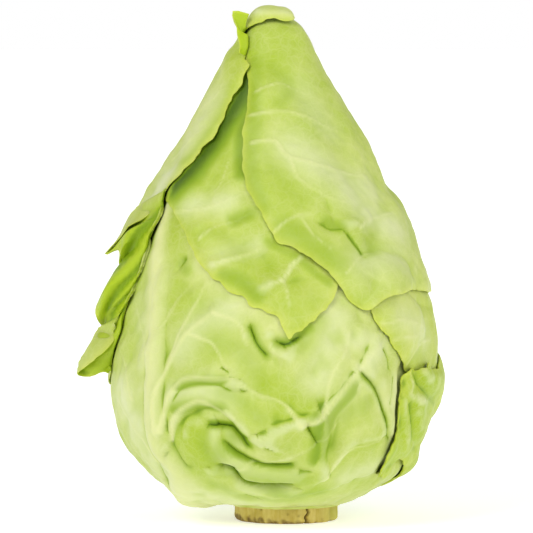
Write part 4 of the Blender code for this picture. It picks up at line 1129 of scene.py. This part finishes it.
STEM_COLUMNS = 300
STEM_LEVELS = 20
STEM_INSET = 0.4  # of its side from the stem's radius
STEM_SWELL = (0.35, 9.0)  # height and wavelength of its unevenness
FIBRES = (0.12, 3.2)
FIBRE_STRETCH = (1, 1, 0.15)  # fibres run up the stem
CRACK_BEARING = 25  # the crack that splits a stump off at the right, in degrees
CRACK_TURN = 5  # how far it slants from top to bottom
CRACK_WANDER = (0.02, 1.7)  # its swing in radians, and its wave's angle for each millimetre of height
CRACK_WIDTH = 0.5
CRACK_DEPTH = 1.6
RIM_HEIGHT = (2.0, 0.2)  # the brown cut rim fades out between these heights
RIM_UNEVEN = (0.9, 4.0)  # height and wavelength of its upper edge
RIM_TILT = 1.2
RIM_DEPTH = 0.35
FOOT_ROUNDING = 0.8
SPECKS = [(-29, 6.0), (14, 3.4), (2, 4.2), (-46, 2.6)]  # bearing and height of each
SPECK_WIDTH = 0.55
GREEN_FROM = (30, 75)  # bearings between which the stem turns greenish
GREEN_TO = (130, 90)
DARKNESS = {"crack": 0.95, "rim": 0.85, "speck": 0.7, "ends": 0.3}


def stem_grid():
    """(bearing, height, radius, dark paint, green paint) on a grid of places round the stem's side."""
    turn = np.radians(np.arange(STEM_COLUMNS) * 360 / STEM_COLUMNS - 180)
    bearing, height = np.meshgrid(turn, np.linspace(0, STEM_TOP + 1, STEM_LEVELS))
    points = np.stack([STEM_RADIUS * np.sin(bearing), -STEM_RADIUS * np.cos(bearing), height], -1)
    slant = np.radians(CRACK_BEARING + CRACK_TURN * (height / STEM_TOP - 0.5))
    slant += CRACK_WANDER[0] * np.sin(height * CRACK_WANDER[1])
    off_crack = np.abs(bearing - slant) * STEM_RADIUS
    crack = np.exp(-((off_crack / CRACK_WIDTH) ** 2))
    fibres = rippled(points * FIBRE_STRETCH, FIBRES[1], 61)
    uneven = RIM_UNEVEN[0] * rippled(points, RIM_UNEVEN[1], 62)
    rim = smoothstep(*RIM_HEIGHT, height + uneven + RIM_TILT * np.sin(bearing))
    radius = STEM_RADIUS - STEM_INSET + STEM_SWELL[0] * rippled(points, STEM_SWELL[1], 63)
    radius += FIBRES[0] * fibres
    radius -= CRACK_DEPTH * crack
    radius -= FOOT_ROUNDING * smoothstep(1.0, 0.0, height) + RIM_DEPTH * rim
    dark = np.maximum(DARKNESS["crack"] * crack, DARKNESS["rim"] * rim)
    for speck_bearing, speck_height in SPECKS:
        off = np.hypot((bearing - math.radians(speck_bearing)) * STEM_RADIUS, height - speck_height)
        dark = np.maximum(dark, DARKNESS["speck"] * np.exp(-((off / SPECK_WIDTH) ** 2)))
    green = smoothstep(*GREEN_FROM, np.degrees(bearing)) * smoothstep(*GREEN_TO, np.degrees(bearing))
    return bearing, height, radius, dark, green


def add_stem():
    """The cut stem: fibrous, with a dark cut rim, a crack and some specks, and flat beneath."""
    bearing, height, radius, dark, green = stem_grid()
    side = np.stack([radius * np.sin(bearing), -radius * np.cos(bearing), height], -1)
    rings = [side[0] * (0.5, 0.5, 0), *side, side[-1] * (0.5, 0.5, 1)]
    points = np.vstack([*rings, [[0, 0, 0], [0, 0, STEM_TOP + 1]]])
    count, last = STEM_COLUMNS, (len(rings) - 1) * STEM_COLUMNS
    first = np.arange(count)
    following = (first + 1) % count
    faces = []
    for base in range(0, last, count):
        a, b = base + first, base + following
        faces += [np.stack([a, b, b + count], 1), np.stack([a, b + count, a + count], 1)]
    low, high = len(points) - 2, len(points) - 1
    faces.append(np.stack([following, first, np.full(count, low)], 1))
    faces.append(np.stack([last + first, last + following, np.full(count, high)], 1))
    piece = made("cabbage_stem", points, np.concatenate(faces), stem_skin())
    dark_end, fresh_end = [DARKNESS["ends"]], [0.0]
    painted(piece, {
        "bark": np.concatenate([dark_end * count, dark.ravel(), dark_end * (count + 2)]),
        "fresh": np.concatenate([fresh_end * count, green.ravel(), fresh_end * (count + 2)]),
    })
    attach(piece, "root")
    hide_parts("cut_stem")


# Materials

STEM_TAN = (0.60, 0.46, 0.10)
STEM_LIGHT = (0.70, 0.57, 0.18)
STEM_DARK = (0.42, 0.29, 0.05)
STEM_GREEN = (0.45, 0.50, 0.08)
STEM_BROWN = (0.12, 0.06, 0.012)

# The colour of the pale strokes, which also serves as the painted highlight on ridges
PALE_SKIN = (0.66, 0.70, 0.39)
# Greens of painted shade for creases and hollows, down to a near-black painted shadow in slits
SHALLOW_SHADE_SKIN = (0.35, 0.48, 0.02)
PAINTED_SHADE_SKIN = (0.15, 0.27, 0.004)
SLIT_SHADOW_SKIN = (0.02, 0.07, 0.002)
RIB_SKIN = (0.68, 0.70, 0.33)
INNER_SKIN = (0.37, 0.50, 0.008)
# Painted light: the yellow-green glow of light through a leaf's thin margin
RIM_GLOW_SKIN = (0.60, 0.65, 0.08)

# The two greens of each leaf, and the height in metres up to which its foot is pale
SKINS = {
    "leaf_front": ((0.60, 0.65, 0.24), (0.38, 0.49, 0.04), 0.022),
    "leaf_over": ((0.53, 0.60, 0.14), (0.34, 0.46, 0.025), 0.03),
    "leaf_right": ((0.56, 0.63, 0.14), (0.40, 0.51, 0.035), 0.03),
    "leaf_low_right": ((0.51, 0.59, 0.07), (0.34, 0.47, 0.012), 0.02),
    "leaf_cap": ((0.56, 0.63, 0.18), (0.36, 0.48, 0.035), 0.03),
    "leaf_left": ((0.56, 0.62, 0.20), (0.40, 0.50, 0.05), 0.04),
    "heart": ((0.62, 0.68, 0.26), (0.46, 0.56, 0.10), 0.05),
}
FOOT_START = 0.004
FOOT_SHARE = 0.7
MOTTLE_SHARE = 0.45
INNER_SHARE = 0.9
INNER_SHADE_SHARE = 0.7  # of the painted shade colour, in the inner face's creases
RIM_GLOW_SHARE = 0.4
# Painted shade in creases, darker the deeper the crease: (depth at which each colour begins and is full, its
# share, colour)
CREASE_SHADE_COLOURS = [
    ((0.0, 0.7), 0.85, SHALLOW_SHADE_SKIN),
    ((0.3, 1.0), 0.8, PAINTED_SHADE_SKIN),
    ((1.0, 1.6), 0.9, SLIT_SHADOW_SKIN),
]
SKIN_SHINE = {
    "Subsurface Weight": 0.25,
    "Subsurface Radius": (0.9, 1.0, 0.35),
    "Subsurface Scale": 2.0 * MM,
    "Specular IOR Level": 0.22,
}
SKIN_ROUGHNESS = (0.4, 0.52)
STEM_SHINE = {"Roughness": 0.75, "Specular IOR Level": 0.25}

# What the skins are patterned with: (size in millimetres, the noise that counts as 0 and as 1)
BROAD_MOTTLE = (34, 0.36, 0.66)
FINE_MOTTLE = (7, 0.35, 0.7)
STEM_FIBRES = (1.6, 0.35, 0.65)
STEM_BLOTCHES = (6.0, 0.4, 0.7)
FIBRE_PULL = (1, 1, 0.2)  # draws the fibres out upwards
# Nets: (size of the meshes, width of the lines as a share of it, how strongly they show)
COARSE_NET = (5.0, 0.11, 0.2)
FINE_NET = (1.7, 0.13, 0.13)
NET_WANDER = (5, 6.0)  # the size and reach of the noise that bends the nets' lines
SKIN_GRAIN = (0.8, 0.35)  # size and strength
SKIN_RISE = 0.12  # the height of the skin's unevenness, in millimetres
STEM_RISE = 0.1
FRESH_SHARE = 0.5
WORN_FIBRES = (1.0, 0.7)  # how brown worn flesh is between fibres and on them


def shade_tree(name):
    """(material, node tree, shader) of a new material."""
    material = bpy.data.materials.new(name)
    material.use_nodes = True
    return material, material.node_tree, material.node_tree.nodes["Principled BSDF"]


def set_on(shader, values):
    """Sets a shader's own sockets."""
    for name, value in values.items():
        shader.inputs[name].default_value = value


def fed(tree, socket, value):
    """Sets a socket to a number or colour, or links it."""
    if isinstance(value, bpy.types.NodeSocket):
        tree.links.new(value, socket)
    else:
        socket.default_value = value


def joined(tree, kind, a, b):
    """Two numbers, each a value or a socket, put together as the kind of sum says."""
    node = tree.nodes.new("ShaderNodeMath")
    node.operation = kind
    fed(tree, node.inputs[0], a)
    fed(tree, node.inputs[1], b)
    return node.outputs[0]


def times(tree, a, b):
    return joined(tree, "MULTIPLY", a, b)


def ranged(tree, value, low, high, first=0.0, last=1.0):
    """The value carried from the range low to high over to first to last, and held there."""
    node = tree.nodes.new("ShaderNodeMapRange")
    fed(tree, node.inputs["Value"], value)
    for name, number in (("From Min", low), ("From Max", high), ("To Min", first), ("To Max", last)):
        node.inputs[name].default_value = number
    return node.outputs["Result"]


def mixed(tree, share, a, b):
    """Colour a with a share of colour b."""
    node = tree.nodes.new("ShaderNodeMix")
    node.data_type = "RGBA"
    fed(tree, node.inputs["Factor"], share)
    for socket, value in ((node.inputs[6], a), (node.inputs[7], b)):
        fed(tree, socket, value if isinstance(value, bpy.types.NodeSocket) else (*value, 1))
    return node.outputs[2]


def noise_node(tree, place_at, size):
    """A noise node whose features are about the given size in millimetres."""
    node = tree.nodes.new("ShaderNodeTexNoise")
    fed(tree, node.inputs["Vector"], place_at)
    node.inputs["Scale"].default_value = 1 / (size * MM)
    return node


def noise(tree, place_at, size, low, high):
    """Noise of that size, spread out so that low becomes 0 and high becomes 1."""
    node = noise_node(tree, place_at, size)
    node.inputs["Detail"].default_value = 3.0
    return ranged(tree, node.outputs["Fac"], low, high)


def vein_net(tree, place_at, size, width, strength):
    """The strength on the lines of a net whose meshes are about the given size, and 0 between them."""
    node = tree.nodes.new("ShaderNodeTexVoronoi")
    node.feature = "DISTANCE_TO_EDGE"
    fed(tree, node.inputs["Vector"], place_at)
    node.inputs["Scale"].default_value = 1 / (size * MM)
    return times(tree, ranged(tree, node.outputs["Distance"], 0.0, width, 1.0, 0.0), strength)


def wandering(tree, place_at, size, by):
    """The place moved a little by noise, so that lines drawn there aren't straight."""
    node = noise_node(tree, place_at, size)
    push = tree.nodes.new("ShaderNodeVectorMath")
    push.operation = "MULTIPLY_ADD"
    fed(tree, push.inputs[0], node.outputs["Color"])
    push.inputs[1].default_value = (by * MM,) * 3
    fed(tree, push.inputs[2], place_at)
    return push.outputs[0]


def bumped(tree, shader, height, rise):
    """A fine unevenness of the surface, as high in millimetres as the rise."""
    node = tree.nodes.new("ShaderNodeBump")
    node.inputs["Distance"].default_value = rise * MM
    node.inputs["Strength"].default_value = 1.0
    fed(tree, node.inputs["Height"], height)
    tree.links.new(node.outputs["Normal"], shader.inputs["Normal"])


def named_value(tree, name):
    """A value that was painted on the piece's points."""
    node = tree.nodes.new("ShaderNodeAttribute")
    node.attribute_name = name
    return node.outputs["Fac"]


def object_place(tree):
    return tree.nodes.new("ShaderNodeTexCoord").outputs["Object"]


def height_of(tree, place_at):
    split = tree.nodes.new("ShaderNodeSeparateXYZ")
    fed(tree, split.inputs[0], place_at)
    return split.outputs["Z"]


def layered(tree, colour, layers):
    """A colour under layers, each given as its share and its own colour."""
    for share, layer in layers:
        colour = mixed(tree, share, colour, layer)
    return colour


def leaf_colour(tree, where, middling, net, pale, green, foot):
    """Two greens under a pale foot, the net, pale strokes and painted highlights on ridges, painted shade in
    creases, the inner face, ribs and a painted glow of light at the rim.
    """
    # Painted shade, read from the leaf's points; in the inner face's creases it also darkens the inner face's
    # colour.
    painted_shade = named_value(tree, "shade_paint")
    bright = mixed(tree, ranged(tree, painted_shade, 0, 1, 0.0, INNER_SHADE_SHARE), INNER_SKIN, PAINTED_SHADE_SKIN)
    return layered(tree, pale, [
        (noise(tree, where, *BROAD_MOTTLE), green),
        (times(tree, middling, MOTTLE_SHARE), green),
        (ranged(tree, height_of(tree, where), FOOT_START, foot, FOOT_SHARE, 0.0), RIB_SKIN),
        (net, RIB_SKIN),
        # Pale strokes, and the painted highlights on ridges
        (named_value(tree, "pale"), PALE_SKIN),
        # Painted shade in creases, from green down to a near-black painted shadow in slits
        *((ranged(tree, painted_shade, *depths, 0.0, share), skin) for depths, share, skin in CREASE_SHADE_COLOURS),
        (times(tree, named_value(tree, "inside"), INNER_SHARE), bright),
        (named_value(tree, "vein"), RIB_SKIN),
        # Painted light: the glow of light through the thin margin
        (times(tree, named_value(tree, "rim"), RIM_GLOW_SHARE), RIM_GLOW_SKIN),
    ])


def leaf_skin(name):
    """A leaf's skin: soft, faintly shining and finely uneven."""
    material, tree, shader = shade_tree(name + "_skin")
    where = object_place(tree)
    middling = noise(tree, where, *FINE_MOTTLE)
    moved = wandering(tree, where, *NET_WANDER)
    net = joined(tree, "MAXIMUM", vein_net(tree, moved, *COARSE_NET), vein_net(tree, moved, *FINE_NET))
    fed(tree, shader.inputs["Base Color"], leaf_colour(tree, where, middling, net, *SKINS[name]))
    fed(tree, shader.inputs["Roughness"], ranged(tree, middling, 0, 1, *SKIN_ROUGHNESS))
    set_on(shader, SKIN_SHINE)
    size, strength = SKIN_GRAIN
    grain = times(tree, noise_node(tree, where, size).outputs["Fac"], strength)
    bumped(tree, shader, joined(tree, "ADD", net, grain), SKIN_RISE)
    return material


def stem_skin():
    """Tan flesh with fibres that run up it, brown where it was cut, and greenish at one side."""
    material, tree, shader = shade_tree("stem_skin")
    where = object_place(tree)
    stretch = tree.nodes.new("ShaderNodeVectorMath")
    stretch.operation = "MULTIPLY"
    fed(tree, stretch.inputs[0], where)
    stretch.inputs[1].default_value = FIBRE_PULL
    fibres = noise(tree, stretch.outputs[0], *STEM_FIBRES)
    fed(tree, shader.inputs["Base Color"], layered(tree, STEM_TAN, [
        (fibres, STEM_LIGHT),
        (times(tree, noise(tree, where, *STEM_BLOTCHES), MOTTLE_SHARE), STEM_DARK),
        (times(tree, named_value(tree, "fresh"), FRESH_SHARE), STEM_GREEN),
        (times(tree, named_value(tree, "bark"), ranged(tree, fibres, 0, 1, *WORN_FIBRES)), STEM_BROWN),
    ]))
    set_on(shader, STEM_SHINE)
    bumped(tree, shader, fibres, STEM_RISE)
    return material


def plain_material(name, colour, roughness):
    """A material of one colour."""
    material, _, shader = shade_tree(name)
    set_on(shader, {"Base Color": (*colour, 1), "Roughness": roughness})
    return material


def build_leaves():
    """All leaves, each over those before it. Folds are flatter where a later leaf covers them."""
    rings = [outline_ring(leaf) for leaf in LEAVES]
    masks = [inside_grid(bearing, down) for bearing, down, _ in rings]
    ground = np.zeros(GRID_BEARING.shape)
    for number, leaf in enumerate(LEAVES):
        later = masks[number + 1:] or [np.zeros(ground.shape, bool)]
        ground = add_leaf(leaf, ground, np.any(later, axis=0), leaf_skin(leaf.name))


def finish_core():
    """Gives the tight head, which stays as it is, its skin."""
    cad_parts["inner_head"].material_slots[0].material = leaf_skin("heart")


# The stage, for the pictures

SENSOR = 36.0
# Soft distant lamps: (name, strength, angular width, tilt from straight down, turn from the front)
LAMPS = [
    ("upper_left", 1.32, 26, 52, -40),
    ("right_fill", 0.98, 50, 62, 46),
]
SKY_STRENGTH = 0.5
SKY_BAND = (0.02, 0.12)  # between these rises the sky goes from white to softer
FLOOR_SIZE = 60  # in metres
FLOOR_GLOW = 0.5
FLOOR_ROUGHNESS = 0.9
FLOOR_WHITE = (0.8, 0.8, 0.8)


def pale_sky():
    """A sky that is white near the horizon, as a studio's back wall is, and softer above."""
    world = bpy.data.worlds.new("pale_sky")
    world.use_nodes = True
    tree = world.node_tree
    rise = height_of(tree, tree.nodes.new("ShaderNodeTexCoord").outputs["Generated"])
    bright = ranged(tree, rise, *SKY_BAND, 1.0, SKY_STRENGTH)
    fed(tree, tree.nodes["Background"].inputs["Strength"], bright)
    tree.nodes["Background"].inputs["Color"].default_value = (1, 1, 1, 1)
    return world


def add_floor():
    """A white floor that glows a little, as a lit sheet of paper looks."""
    bpy.ops.mesh.primitive_plane_add(size=FLOOR_SIZE)
    floor = bpy.context.object
    floor.name = "floor"
    white = plain_material("floor_white", FLOOR_WHITE, FLOOR_ROUGHNESS)
    shader = white.node_tree.nodes["Principled BSDF"]
    set_on(shader, {"Emission Color": (1, 1, 1, 1), "Emission Strength": FLOOR_GLOW})
    floor.data.materials.append(white)


def add_lamps():
    for name, strength, spread, tilt, turn in LAMPS:
        lamp = bpy.data.lights.new(name, "SUN")
        lamp.energy = strength
        lamp.angle = math.radians(spread)
        lamp_object = bpy.data.objects.new(name, lamp)
        lamp_object.rotation_euler = (math.radians(tilt), 0, math.radians(turn))
        bpy.context.scene.collection.objects.link(lamp_object)


def add_camera():
    """The camera of the front view."""
    lens = bpy.data.cameras.new("front_view")
    lens.sensor_width = SENSOR
    lens.lens = SENSOR * VIEW_FROM / (STEPS_WIDE * STEP)
    lens.clip_end = 100
    camera = bpy.data.objects.new("front_view", lens)
    back, rise = VIEW_FROM * math.cos(VIEW_RISE), VIEW_FROM * math.sin(VIEW_RISE)
    camera.location = (MIDDLE_X * MM, -back * MM, (MIDDLE_Z + rise) * MM)
    camera.rotation_euler = (math.pi / 2 - VIEW_RISE, 0, 0)
    bpy.context.scene.collection.objects.link(camera)
    bpy.context.scene.camera = camera


def build_stage():
    """A white floor, soft lamps, a pale sky, and the camera of the front view."""
    add_floor()
    add_lamps()
    bpy.context.scene.world = pale_sky()
    bpy.context.scene.view_settings.view_transform = "Standard"
    add_camera()


build_leaves()
add_stem()
finish_core()
build_stage()
